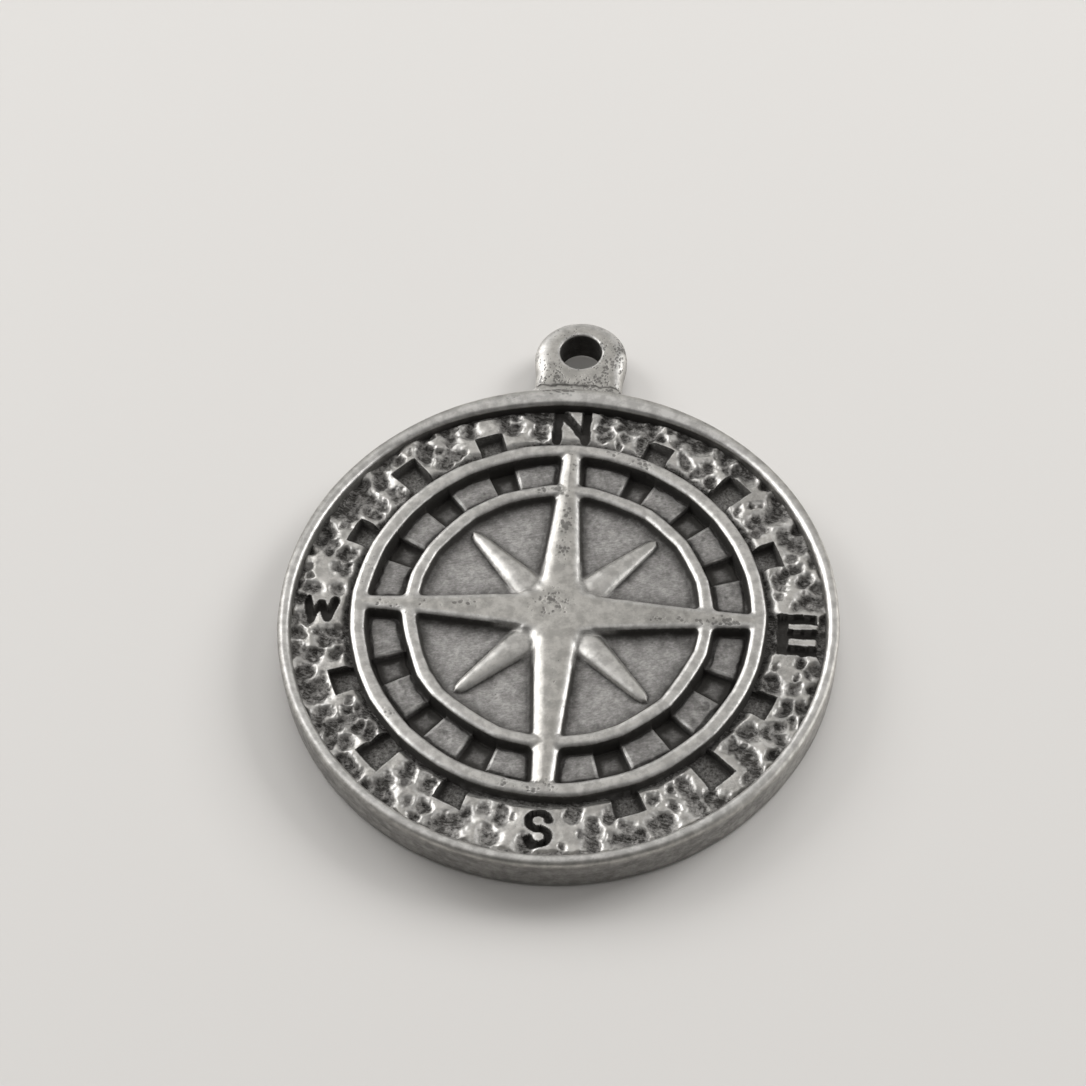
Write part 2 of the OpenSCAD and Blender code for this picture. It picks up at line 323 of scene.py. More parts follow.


# %% [markdown]
# ## Heights and masks as functions
# The rose is drawn on two grids that meet on top of the inner ring, because one grid fine enough for
# the thin walls would be too heavy for one piece. Both ask the same function for their heights, so the
# seam can't be seen. Rubbing leaves the corners between short rays and long points soft: a bevel can't
# follow such a join, but the mean height of a small circle round each point does. The masks say where
# oxide stayed and shade is painted, where rubbing left a grey film, where it polished, and where the casting
# is porous.

# %% Heights of the rose
def cast_height(x, y, pocket):
    """Height of the rose as cast, and how far a ray stands above the rest. Inside the edge it is the
    top less dents, crown and shoulder. Outside it is the ground, which climbs to the top over the wall.
    Rays are joined on with the rounded maximum."""
    # Tops of the rings and of the long points, where star is 1
    inward = rose_edge(x, y)
    rings = np.maximum(ring_edge(x, y, 0), ring_edge(x, y, 1))
    star = step(points_edge(x, y) - rings, -0.25, 0.25)
    upright = step(np.abs(y) - np.abs(x), -0.6, 0.6)
    width, depth = (
        ring + star * (level - ring + upright * (tall - level))
        for ring, level, tall in zip(RING_SHOULDER, LEVEL_SHOULDER, UPRIGHT_SHOULDER)
    )
    dents = 0.006 + 0.012 * np.abs(rough(x, y, 1.1, 3, 2)) + 0.004 * np.abs(noise(x, y, 0.2, 3))
    crown = (0.03 + 0.04 * star) * np.clip(1 - inward / (0.32 + 0.5 * star), 0, 1) ** 2
    raised = RING_TOP + (TOP - RING_TOP) * star - dents - crown - shoulder(inward, width, depth)
    # Floor with a fillet at its walls, or the track's blocks with worn sides, moats and pockets
    waves = 0.012 * rough(x, y, 1.4, 3, 1) + 0.005 * rough(x, y, 0.16, 2, 5)
    foot = -inward - WALL
    fillet = 0.09 * (1 - step(foot, 0, 0.16))
    worn_side = 0.07 * (1 - step(0.03 * noise(x, y, 0.25, 9) - pocket, 0, 0.14))
    moat = 0.13 * (1 - step(foot + 0.05 * noise(x, y, 0.3, 10), 0.05, 0.22))
    ground = FLOOR + waves + np.where(pocket > FAR / 2, -np.maximum(worn_side, moat), fillet)
    ground = ground - (FLOOR - POCKET) * step(pocket, -0.01, 0.08)
    # Walls and rays
    climb = np.clip(1 + inward / WALL, 0, 1)
    ray, ray_side = ray_height(x, y)
    ray_surface = np.where(np.hypot(x, y) < RAY_REACH, FLOOR + ray + 2 * np.minimum(ray_side, 0), 0.0)
    sides = ground + np.maximum(raised - ground, 0) * climb
    surface = soft_max(np.where(inward >= 0, raised, sides), ray_surface, 0.06)
    bare = np.where(inward >= 0, raised, ground)
    return surface, ray_surface - bare


# %% Worn joins near the middle of the star
ROOT_R = 3.1
ROOT_FADE = 0.5
WEAR = 0.1


def wear_root(values, field, x, y):
    """Near the middle, the mean of a field at each point and at eight points on a small circle round
    it takes the place of the values. Further out the values stay, with a soft change between."""
    root = np.hypot(x, y) < ROOT_R
    if root.any():
        u = x[root]
        v = y[root]
        turns = np.arange(8) * np.pi / 4
        around = [field(u + WEAR * np.cos(turned), v + WEAR * np.sin(turned)) for turned in turns]
        soft = (field(u, v) + sum(around)) / 9
        share = 1 - step(np.hypot(u, v), ROOT_R - ROOT_FADE, ROOT_R)
        values[root] = values[root] * (1 - share) + soft * share
    return values


def rose_height(x, y, pocket):
    """The cast height, worn soft where rays and points meet, and how far a ray stands above the rest."""
    surface, ray_above = cast_height(x, y, pocket)
    surface = wear_root(surface, lambda u, v: cast_height(u, v, np.full_like(u, FAR))[0], x, y)
    return surface, ray_above


# %% Masks of the rose
# Soft spots on the long points: strength, x and y of the middle, reach along x and along y
TARNISH_SPOTS = [
    (0.34, 5.2, 0, 2.9, 0.9), (0.24, -4.8, 0.1, 2.6, 0.5), (0.16, 0.05, 4.5, 0.3, 2.6),
    (0.1, 0.1, -4.5, 0.35, 2.4),
]
POROUS_SPOTS = [
    (1, 0.05, 4.4, 0.35, 2.2), (1, -0.35, 0.3, 1.0, 0.8), (1, 5.2, -0.2, 1.7, 0.25),
    (0.6, 0.1, 8.2, 0.3, 0.7), (0.7, -4.2, 0.1, 1.6, 0.3), (0.5, 0.1, -4.0, 0.3, 2.0),
]


def soft_spots(x, y, spots):
    """The sum of soft spots: each is its strength times exp of minus the squared share of its reach."""
    total = np.zeros_like(x)
    for strength, middle_x, middle_y, reach_x, reach_y in spots:
        share = ((x - middle_x) / reach_x) ** 2 + ((y - middle_y) / reach_y) ** 2
        total = total + strength * np.exp(-share)
    return total


def rose_masks(x, y, pocket, ray_above):
    """Oxide, painted shade, dull film, shine and pores of the rose, from the distances to edges, rays and
    pockets.
    """
    inward = rose_edge(x, y)
    rings = np.maximum(ring_edge(x, y, 0), ring_edge(x, y, 1))
    foot = -inward - WALL
    ray_side = np.where(np.hypot(x, y) < RAY_REACH, ray_height(x, y)[1], FAR)
    # Oxide on the floor: borders along walls and rays, widened south of the level arms by painted shade, and
    # stains between them
    ragged = 0.05 * rough(x, y, 0.45, 3, 4) + 0.04 * rough(x, y, 1.6, 2, 6)
    # South of the level arms the border is wider: painted shade under the arms
    under_arm = step(-y, 0.2, 0.6) * (1 - step(-y, 1.2, 1.7)) * step(np.abs(x), 1.2, 2.4)
    border = np.exp(-np.maximum(foot + ragged, 0) / (0.43 + 0.13 * under_arm))
    in_track = pocket > FAR / 2
    border = np.maximum(border, in_track * (1 - step(foot + ragged, 0.05, 0.27)))
    ray_border = 0.9 * np.exp(-np.maximum(-ray_side + 0.7 * ragged, 0) / 0.25)
    on_ray = step(ray_above, 0.02, 0.14)
    grit = np.maximum(rough(x, y, 0.3, 3, 14), 0)
    stain = 0.01 + 0.13 * rough(x, y, 1.3, 3, 12) + 0.12 * grit + in_track * (0.12 + 0.3 * grit)
    # Towards the west the floor is made lighter, and towards the east darker
    stain = stain - 0.09 * step(-x - 0.4 * y, 0.5, 4.0) + 0.04 * step(x, 0.5, 4.0)
    low = np.maximum.reduce([border, ray_border, stain])
    # Oxide in the pockets and on the walls
    middle = np.minimum(pocket, 0.7 * foot)
    in_pocket = step(pocket, -0.02, 0.05)
    pocket_dark = in_pocket * (1 - 0.42 * step(middle + 0.6 * ragged, 0.2, 0.5))
    foot_dark = 1 - step(foot, -0.02, 0.03)
    low_share = step(-inward, 0.3 * WALL, 0.8 * WALL)
    wall = step(-inward, -0.05, 0.01)
    oxide_and_shade = wall * (1 - low_share) + low_share * np.maximum.reduce([low, pocket_dark, foot_dark])
    # Tarnish on the long points, and a dark groove where a ray meets a wall
    tarnish = soft_spots(x, y, TARNISH_SPOTS)
    groove = 0.75 * on_ray * np.exp(-(((foot + 0.06) / 0.06) ** 2))
    oxide_and_shade = np.maximum.reduce([oxide_and_shade * (1 - on_ray), tarnish * step(inward, 0, 0.1), groove])
    # Film on what lies low, shine on shoulders, rays and the lips of pockets
    pocket_lip = (1 - step(np.abs(pocket + 0.07), 0.03, 0.1)) * step(foot, 0.1, 0.22)
    dull = low_share * (1 - on_ray) * (1 - 0.7 * pocket_lip)
    shine = step(inward, 0.0, 0.05) * (1 - step(inward, 0.14, 0.3))
    star = step(points_edge(x, y) - rings, -0.25, 0.25)
    shine = np.maximum.reduce([shine, 0.5 * on_ray, 0.5 * (1 - star) * step(inward, 0, 0.05)])
    shine = np.maximum(shine, pocket_lip)
    # Pores in spots and patches
    patches = step(rough(x, y, 2.2, 2, 8), 0.25, 0.9)
    porous = soft_spots(x, y, POROUS_SPOTS) + 0.75 * patches * step(inward, 0.05, 0.15) + 0.25 * dull
    return {"oxide_and_shade": oxide_and_shade, "dull": dull, "shine": shine, "porous": porous}


def star_mask(x, y, label):
    """One mask of the star, where there are no pockets, at any place."""
    no_pocket = np.full_like(x, FAR)
    return rose_masks(x, y, no_pocket, cast_height(x, y, no_pocket)[1])[label]


# %% [markdown]
# ## The star's grid
# A polar grid would crowd its points in the middle of the star. Here each square ring of a square grid
# becomes a circle, which keeps the cells even and lets the rows follow the inner ring. Blender works out
# normals from each piece's own faces, which would show a line where the star meets the track. Both
# pieces get the normals of their shared formula instead.

# %% Normals from a formula
def formula_normals(height, x, y):
    """Upward normals of a height function: minus its slopes along x and y, then 1, made one long."""
    nudge = 0.015
    slope_x = (height(x + nudge, y) - height(x - nudge, y)) / (2 * nudge)
    slope_y = (height(x, y + nudge) - height(x, y - nudge)) / (2 * nudge)
    normals = np.stack([-slope_x, -slope_y, np.ones_like(x)], -1).reshape(-1, 3)
    return normals / np.linalg.norm(normals, axis=1, keepdims=True)


# %% The star, the rays and the floor inside the inner ring
STAR_CELLS = 306
SEAM_R = 6.6
side = np.linspace(-1, 1, STAR_CELLS + 1)
a, b = np.meshgrid(side, side)
wide = np.abs(a) >= np.abs(b)
larger = np.where(wide, a, b)
smaller = np.where(wide, b, a)
quarter = np.pi / 4 * smaller / np.where(larger == 0, 1, larger)
star_x = SEAM_R * np.where(wide, larger * np.cos(quarter), larger * np.sin(quarter))
star_y = SEAM_R * np.where(wide, larger * np.sin(quarter), larger * np.cos(quarter))
cell = 2 * SEAM_R / STAR_CELLS
EDGE_LINES = (0.0, -WALL / 2, -WALL)
RAY_JOIN = 0.2


def ray_only(x, y):
    """The rays' distance inwards, only inside the inner ring."""
    alone = (np.hypot(x, y) < RAY_REACH) & (rose_edge(x, y) < -WALL)
    return np.where(alone, ray_height(x, y)[1], FAR)


def wall_alone(x, y):
    """The walls' distance inwards, without the places where a ray runs up to the top of the wall."""
    joined = (np.hypot(x, y) < RAY_REACH) & (ray_height(x, y)[0] > RAY_JOIN)
    return np.where(joined, FAR, rose_edge(x, y))


star_x, star_y = slide_to(star_x, star_y, ray_only, (0.0,), 0.4 * cell)
star_x, star_y = slide_to(star_x, star_y, wall_alone, EDGE_LINES, 0.5 * cell)
no_pocket = np.full_like(star_x, FAR)
star_z, star_ray = rose_height(star_x, star_y, no_pocket)
print("star: cells of", round(cell, 3), "mm, heights", star_z.min().round(3), "to", star_z.max().round(3))

# %% The star as a closed piece
index = np.arange(star_x.size).reshape(star_x.shape)
loop = np.concatenate([index[0, :-1], index[:-1, -1], index[-1, :0:-1], index[:0:-1, 0]])
star_points = np.stack([star_x, star_y, star_z], -1).reshape(-1, 3)
star_points = np.vstack([star_points, star_points[loop] * [1, 1, 0] + [0, 0, HIDDEN]])
under = star_x.size + np.arange(len(loop))
skirt = np.stack([loop, under, np.roll(under, -1), np.roll(loop, -1)], -1).tolist()
star_masks = rose_masks(star_x, star_y, no_pocket, star_ray)
for label, values in star_masks.items():
    worn = wear_root(values, lambda u, v: star_mask(u, v, label), star_x, star_y)
    star_masks[label] = np.append(worn.ravel(), np.zeros(len(loop)))
star = add_piece("star", star_points, quads(index), star_masks, [under[::-1].tolist()], skirt)
star_normals = formula_normals(lambda x, y: rose_height(x, y, np.full_like(x, FAR))[0], star_x, star_y)
below = np.tile([0.0, 0.0, -1.0], (len(loop), 1))
star.data.normals_split_custom_set_from_vertices(np.vstack([star_normals, below]).tolist())

# %% [markdown]
# ## The track's grid
# The two rings and the track between them run round the axis, so a polar grid fits them: its rows
# follow the rings, and its columns follow the sides of the pockets. It starts on the same points on
# which the star's grid ends.

# %% The rings, the track and its pockets
TRACK_COLUMNS = 4 * STAR_CELLS
TRACK_ROWS = 76
TRACK_END = 9.4
turn = np.pi / 4 * (-1 + 2 * np.arange(TRACK_COLUMNS) / STAR_CELLS)
radius = np.linspace(SEAM_R, TRACK_END, TRACK_ROWS + 1)
turn, radius = np.meshgrid(turn, radius)
track_x = radius * np.cos(turn)
track_y = radius * np.sin(turn)


def track_pocket(x, y):
    """The pockets' distance, only in the track between the rings."""
    in_track = np.abs(np.hypot(x, y) - TRACK_MIDDLE) < TRACK_HALF
    return np.where(in_track, pocket_edge(x, y, TRACK_MIDDLE, POCKET_HALF), FAR)


TRACK_SLIDE = 0.018
track_x, track_y = slide_to(track_x, track_y, track_pocket, (0.0, 0.08), TRACK_SLIDE)
track_x, track_y = slide_to(track_x, track_y, rose_edge, EDGE_LINES, TRACK_SLIDE)
track_x[0] = radius[0] * np.cos(turn[0])
track_y[0] = radius[0] * np.sin(turn[0])
in_pocket = track_pocket(track_x, track_y)
track_z, track_ray = rose_height(track_x, track_y, in_pocket)
past_ring = np.hypot(track_x, track_y) > RING_MIDDLES[0]
track_z = np.where(past_ring & (rose_edge(track_x, track_y) < -WALL), HIDDEN, track_z)
print("track: heights", track_z.min().round(3), "to", track_z.max().round(3), "mm")

# %% The track as a closed piece
rows, columns = track_x.shape
index = np.arange(rows * columns).reshape(rows, columns)
track_points = np.stack([track_x, track_y, track_z], -1).reshape(-1, 3)
track_points = np.vstack([track_points, track_points[index[0]] * [1, 1, 0] + [0, 0, HIDDEN - 0.05],
                          track_points[index[-1]] * [1, 1, 0] + [0, 0, HIDDEN - 0.05]])
inner = rows * columns + np.arange(columns)
outer = inner + columns
hoops = [(index[-1], outer), (outer, inner), (inner, index[0])]
skirt = []
for first, second in hoops:
    skirt += np.stack([first, np.roll(first, -1), np.roll(second, -1), second], -1).tolist()
track_cells = quads(index, wrap_columns=True)
if signed_volume(track_points, np.vstack([track_cells, skirt])) < 0:
    track_cells = track_cells[:, ::-1]
    skirt = [face[::-1] for face in skirt]
track_masks = rose_masks(track_x, track_y, in_pocket, track_ray)
for label, values in track_masks.items():
    track_masks[label] = np.append(values.ravel(), np.zeros(2 * columns))
track = add_piece("rings_and_track", track_points, track_cells, track_masks, (), skirt)
track_normals = formula_normals(lambda x, y: rose_height(x, y, track_pocket(x, y))[0], track_x, track_y)
below = np.tile([0.0, 0.0, -1.0], (2 * columns, 1))
track.data.normals_split_custom_set_from_vertices(np.vstack([track_normals, below]).tolist())

# %% [markdown]
# ## The hammered band
# The band was struck all over with small round punches. Each blow leaves a scoop that is deepest in its
# middle. The old surface stays between the scoops as smooth land with hollow edges, and it is what
# shines. A cell pattern would look too even, so the blows are listed one by one, and each point of the
# band takes the depth of the deepest scoop that reaches it.

# %% Sizes of the band, in millimetres
RIDGE = 1.76
BLOW_DEPTH = 0.36
BLOW_SPREAD = 1.02
BAND_ROWS = 60
BAND_COLUMNS = 1600
BAND_INNER = 9.12
BAND_OUTER = 12.05
LETTER_FLOOR = 1.3
STROKE = 0.22
# Where the band meets the rim, and how much wider the rim is under the eye
BAND_RIM = 11.94
RIM_SWELL = 0.34
print("band:", BAND_ROWS, "by", BAND_COLUMNS, "cells, scoops to", BLOW_DEPTH, "mm deep")

# %% [markdown]
# ## Letters and pockets in the band
# The letters N, E, S and W and twelve square pockets are sunk into the band, and the oxide keeps them
# black. A text object would bring the even curves of a typeface, and a Boolean cut would break the grid.
# The real letters were cut by hand, so each one is drawn here as a few strokes. The distance to the
# nearest stroke gives the walls, the floor and the black in one go.

# %% Turns, and letters as distances to their strokes
# Middles of the letters, in millimetres
N_SPOT = (-0.1, 10.66)
E_SPOT = (10.62, -0.42)
S_SPOT = (0, -10.68)
W_SPOT = (-10.63, -0.38)


def turn_gap(angle, middle):
    """Size of the turn in degrees, from 0 to 180, between an angle in radians and a middle in degrees."""
    return np.abs((np.degrees(angle) - middle + 180) % 360 - 180)


def stroke_gap(x, y, ends, square=False):
    """Distance to the nearest of several strokes, from how far a point lies across and past each one.
    The ends are square where the larger of the two counts, and round where it is their hypotenuse."""
    gap = np.full_like(x, 9.0)
    for (ax, ay), (bx, by) in ends:
        length = math.hypot(bx - ax, by - ay)
        along = ((x - ax) * (bx - ax) + (y - ay) * (by - ay)) / length
        across = np.abs((x - ax) * (by - ay) - (y - ay) * (bx - ax)) / length
        over = np.maximum(np.abs(along - length / 2) - length / 2, 0)
        one = np.maximum(across, over) if square else np.hypot(across, over)
        gap = np.minimum(gap, one)
    return gap


def run(corners):
    """The strokes between neighbours in a list of corners."""
    return list(zip(corners[:-1], corners[1:]))


def hook_gap(x, y, turn):
    """Distance to one half of the S: an open round above the middle, or below it when turned."""
    u = x * turn / 1.2
    v = y * turn - 0.36
    round_part = np.abs(np.hypot(u, v) - 0.36)
    ends = np.minimum(np.hypot(u - 0.36, v - 0.04), np.hypot(u, v + 0.36))
    return np.where((u > 0) & (v < 0.02), ends, round_part)


def letter_edge(x, y):
    """Distance inwards from the edges of the nearest letter: half a stroke less the gap to its middle.
    The E is a little bolder than the N, and the W and the S are a little finer."""
    n_ends = run([(-0.69, -0.96), (-0.69, 0.9), (0.67, -0.9), (0.67, 0.96)])
    e_ends = run([(0.66, 0.78), (-0.62, 0.78), (-0.62, -0.84), (0.66, -0.84)]) + run([(-0.62, 0), (0.66, 0)])
    w_ends = run([(-0.64, 0.52), (-0.37, -0.48), (0.0, 0.3), (0.37, -0.48), (0.64, 0.52)])
    s_x = x - S_SPOT[0]
    s_y = y - S_SPOT[1]
    gaps = [
        stroke_gap(x - N_SPOT[0], y - N_SPOT[1], n_ends),
        stroke_gap(x - E_SPOT[0], y - E_SPOT[1], e_ends, True) - 0.03,
        stroke_gap(x - W_SPOT[0], y - W_SPOT[1], w_ends) + 0.03,
        np.minimum(hook_gap(s_x, s_y, 1), hook_gap(s_x, s_y, -1)) + 0.06,
    ]
    return STROKE - np.minimum.reduce(gaps) + 0.03 * rough(x, y, 0.3, 2, 45)


# %% The band's grid
turn = np.arange(BAND_COLUMNS) * 2 * np.pi / BAND_COLUMNS
radius = np.linspace(BAND_INNER, BAND_OUTER, BAND_ROWS + 1)
turn, radius = np.meshgrid(turn, radius)
band_x = radius * np.cos(turn)
band_y = radius * np.sin(turn)
# Places in the list of angles of the four pockets that reach further out than the others
LONG_POCKETS = (1, 4, 7, 10)
LONG_REACH = 11.02
SHORT_REACH = 10.5


def band_pocket(x, y):
    """Distance inwards from the sides of the nearest square pocket against the outer ring."""
    reach = np.where(np.isin(np.arange(len(POCKET_ANGLES)), LONG_POCKETS), LONG_REACH, SHORT_REACH)
    angle = np.arctan2(y, x)
    offset = (angle[..., None] - POCKET_ANGLES + np.pi) % (2 * np.pi) - np.pi
    arc = 0.65 - np.abs(offset) * 10.1
    return np.minimum(arc, reach - np.hypot(x, y)[..., None]).max(-1)


band_x, band_y = slide_to(band_x, band_y, band_pocket, (0.0, 0.06), 0.02)
band_x, band_y = slide_to(band_x, band_y, letter_edge, (0.0, 0.06), 0.022)
print("band:", band_x.size, "points")

# %% Blows of the punch: each has its angle in degrees, then its radius and its size in mm
BLOWS = [
    (6.5, 11.7, 0.4), (7, 11.1, 0.42), (10.2, 11.8, 0.3), (12.4, 11.2, 0.28), (17.3, 11.85, 0.3),
    (5.7, 10.6, 0.2), (16.4, 10.9, 0.28), (19.4, 10.95, 0.25), (15.5, 10.4, 0.28), (12.2, 10.1, 0.26),
    (9, 9.9, 0.2), (13.9, 10.1, 0.25), (22.6, 11.5, 0.5), (25.3, 11.1, 0.42), (26.4, 11.85, 0.3),
    (32.3, 11.5, 0.5), (32, 11, 0.38), (35.6, 11.75, 0.35), (29.6, 10.4, 0.3), (29.3, 9.95, 0.25),
    (32.4, 10.25, 0.35), (37, 10.6, 0.12), (37.8, 9.9, 0.22), (36.4, 11, 0.18), (40, 11.9, 0.28),
    (44.3, 11.55, 0.4), (45.8, 11.75, 0.42), (47.2, 11.35, 0.3), (49.5, 11.15, 0.25),
    (52.2, 11.85, 0.42), (51.6, 11.5, 0.3), (57, 11.7, 0.4), (58.6, 11.3, 0.45), (60.5, 11.6, 0.4),
    (62.9, 11.5, 0.38), (63.4, 10.95, 0.25), (53.1, 10.6, 0.33), (49.7, 10.05, 0.3), (53.7, 10.1, 0.28),
    (55, 9.8, 0.25), (59.8, 10.35, 0.3), (58.1, 10.1, 0.3), (67.5, 10.9, 0.28), (66, 11.5, 0.15),
    (71, 11.4, 0.35), (70.8, 10.9, 0.32), (71.2, 10.4, 0.32), (71, 10, 0.3), (73.8, 11.2, 0.35),
    (74.5, 11.6, 0.35), (76, 11.3, 0.35), (76, 10.9, 0.28), (76, 10.3, 0.25), (78, 10.85, 0.2),
    (78, 11.5, 0.38), (80.6, 10.25, 0.27), (82.4, 11.1, 0.35), (82.2, 11.6, 0.35), (82.5, 10.6, 0.32),
    (82.6, 10.1, 0.3), (77, 9.8, 0.2), (96, 11.3, 0.4), (98.5, 11.2, 0.4), (98.8, 10.6, 0.25),
    (99.3, 10.2, 0.36), (98.5, 9.9, 0.25), (99.6, 11.3, 0.35), (104.6, 11.35, 0.25),
    (105.4, 10.65, 0.33), (108, 11.35, 0.38), (107.8, 10.95, 0.25), (116.4, 11.05, 0.33),
    (115.3, 11.5, 0.3), (121.3, 11.6, 0.42), (121.4, 11.15, 0.35), (122, 10.9, 0.22),
    (123.6, 10.3, 0.4), (122.2, 10.1, 0.25), (126, 9.95, 0.3), (120.5, 10.05, 0.15),
    (126.3, 11.9, 0.33), (128.4, 11, 0.4), (128, 11.4, 0.3), (129.2, 10.7, 0.28), (125.8, 10.65, 0.15),
    (127.3, 10, 0.2), (132.1, 11.5, 0.12), (133.8, 12.05, 0.28), (136.5, 12, 0.35), (140, 12.05, 0.35),
    (138.5, 11.75, 0.35), (135.3, 11.5, 0.22), (141, 11.6, 0.3), (141.8, 11.2, 0.4), (143, 10.95, 0.32),
    (142.4, 10.35, 0.25), (141.8, 10, 0.2), (143, 9.75, 0.3), (146, 11.8, 0.38), (148.3, 11.5, 0.55),
    (147.8, 11.1, 0.35), (150.6, 11.5, 0.5), (154.3, 11.65, 0.45), (152.5, 11.3, 0.4),
    (154.6, 11, 0.35), (150.8, 10.6, 0.28), (147.9, 10.65, 0.25), (147.2, 10.3, 0.28), (148, 10, 0.28),
    (150.9, 10, 0.3), (151.5, 10.2, 0.2), (157.4, 11.1, 0.2), (156.9, 10.75, 0.15),
    (161.2, 11.55, 0.42), (163, 11.6, 0.38), (159.6, 11.75, 0.25), (163.6, 11.05, 0.28),
    (165.3, 11, 0.25), (165.3, 10.3, 0.33), (169.1, 10.4, 0.25), (166.5, 11.95, 0.3), (169.5, 10, 0.3),
    (164.2, 9.85, 0.2), (167.5, 9.95, 0.15), (170.8, 11.65, 0.2), (171.2, 11.95, 0.25), (173, 12, 0.25),
    (175.3, 11.95, 0.25), (176.2, 11.4, 0.3), (176.3, 11, 0.25), (172.8, 11.5, 0.15), (176, 9.95, 0.3),
    (179.4, 11.65, 0.3), (184.3, 11.8, 0.33), (187.5, 11.75, 0.33), (188.3, 11.4, 0.2),
    (191.5, 11.8, 0.3), (193.2, 11.75, 0.33), (184.5, 11.2, 0.3), (194.6, 11, 0.38), (194, 10.7, 0.25),
    (192.3, 11.3, 0.22), (190, 10.3, 0.4), (191.2, 10.45, 0.28), (189.6, 9.95, 0.25),
    (188.1, 10.65, 0.2), (195.4, 10.1, 0.28), (194.5, 9.8, 0.25), (188, 9.75, 0.2), (191, 9.7, 0.25),
    (198.2, 11.6, 0.4), (197.9, 11.3, 0.28), (201, 11.75, 0.33), (203.5, 11.5, 0.5),
    (205.2, 11.3, 0.45), (202.8, 11, 0.33), (205, 10.9, 0.33), (200.7, 10.85, 0.22),
    (210.4, 11.5, 0.33), (210.3, 11.15, 0.22), (212.5, 11.8, 0.28), (214.2, 11.3, 0.38),
    (213.8, 10.8, 0.25), (216, 11.5, 0.35), (217, 11.7, 0.3), (219.6, 11.2, 0.33), (222.3, 11.8, 0.33),
    (224, 11.75, 0.3), (212, 10.4, 0.2), (214.4, 10.45, 0.28), (213.8, 9.9, 0.3), (217.5, 10.3, 0.3),
    (209.9, 10.1, 0.18), (220.3, 10.1, 0.3), (219.8, 9.8, 0.2), (215.3, 9.75, 0.25), (226.6, 11.8, 0.3),
    (225.2, 11.6, 0.2), (230.4, 11.85, 0.25), (233.2, 11.5, 0.42), (233, 11, 0.33), (235.5, 11.6, 0.38),
    (236.6, 11.8, 0.3), (239.9, 11.25, 0.2), (243.3, 11.1, 0.28), (242.9, 11.7, 0.25),
    (236.7, 10.55, 0.25), (235.2, 10.15, 0.33), (234.7, 9.8, 0.25), (241.2, 10.3, 0.3),
    (241.2, 9.9, 0.3), (247, 11.6, 0.35), (249.4, 11.5, 0.4), (249, 11.15, 0.28), (251.5, 11.7, 0.4),
    (252, 10.9, 0.42), (253, 10.6, 0.28), (250.6, 11.1, 0.3), (256.5, 10.1, 0.28), (260, 11.4, 0.35),
    (258.7, 11.1, 0.3), (260.6, 10.4, 0.3), (260.6, 10, 0.3), (267.4, 11.6, 0.35), (266.8, 11.15, 0.25),
    (263.6, 10.2, 0.12), (275.3, 11.6, 0.14), (281.7, 11.5, 0.33), (281.8, 11, 0.33),
    (281.9, 10.55, 0.28), (279.3, 11, 0.2), (277.9, 10, 0.3), (279, 9.7, 0.25), (286.2, 11.4, 0.25),
    (289.5, 11.6, 0.38), (291.5, 11.55, 0.33), (288, 11.45, 0.3), (290.2, 11.1, 0.28),
    (288.8, 10.9, 0.25), (285.9, 10.3, 0.25), (287, 10.1, 0.25), (297, 11.45, 0.45),
    (295.9, 11.3, 0.38), (298.4, 11.3, 0.38), (297, 11.1, 0.28), (297.6, 10.15, 0.24),
    (301.5, 10.85, 0.22), (305.6, 11.4, 0.35), (306, 10.9, 0.33), (305.9, 10.4, 0.33),
    (306.3, 10.05, 0.28), (302.7, 10, 0.25), (309.5, 11.6, 0.38), (309.5, 11.2, 0.3),
    (310.7, 11.75, 0.3), (320.8, 11.6, 0.38), (318.6, 11.7, 0.3), (322.3, 11.1, 0.35),
    (322.4, 10.6, 0.33), (322.3, 10.1, 0.35), (321.2, 10.1, 0.25), (326.4, 11.8, 0.3),
    (329.7, 11.6, 0.33), (330, 11, 0.35), (332.8, 11.2, 0.25), (334.9, 11.6, 0.25), (339, 11.7, 0.28),
    (336.6, 11, 0.28), (338.2, 11, 0.28), (343, 11.05, 0.25), (344.4, 11.85, 0.28), (347.9, 11.4, 0.2),
    (349.5, 11.75, 0.3), (350, 10.95, 0.25), (327.4, 10.5, 0.35), (328.3, 10.2, 0.3), (327, 10.1, 0.25),
    (342, 10.2, 0.35), (343.4, 10, 0.33), (341.9, 9.9, 0.28), (347.9, 10, 0.15), (345.8, 10.85, 0.15),
]


def blow_depth(x, y):
    """Depth of all scoops as a share: each is a bell that is half as deep at its size, and the depth
    is the cube root of the sum of their cubes, which stays close to the deepest one."""
    cubes = np.zeros_like(x)
    for turned, distance, size in BLOWS:
        spot_x = distance * math.cos(math.radians(turned))
        spot_y = distance * math.sin(math.radians(turned))
        share = ((x - spot_x) ** 2 + (y - spot_y) ** 2) / (BLOW_SPREAD * size) ** 2
        force = 0.85 + 0.15 * math.sin(7 * turned + 3 * distance)
        scoop = force * min(1, size / 0.3) ** 0.5 * np.exp(-0.69 * share**1.4)
        cubes = cubes + scoop**3
    return np.cbrt(cubes)


# %% Heights of the band
letter_in = letter_edge(band_x, band_y)
pocket_in = band_pocket(band_x, band_y)
band_r = np.hypot(band_x, band_y)
band_angle = np.arctan2(band_y, band_x)
warp_x = band_x + 0.11 * rough(band_x, band_y, 0.42, 4, 31)
warp_y = band_y + 0.11 * rough(band_x, band_y, 0.42, 4, 37)
south = 1 - step(turn_gap(band_angle, 280), 15, 50)
north = 1 - step(turn_gap(band_angle, 90), 8, 46)
beside_e = 1 - step(turn_gap(band_angle, 357.7), 4.5, 7.5)
rim_in = BAND_RIM - RIM_SWELL * north - band_r
lumps = rough(band_x, band_y, 0.7, 2, 43)
grit = rough(band_x, band_y, 0.17, 2, 41)
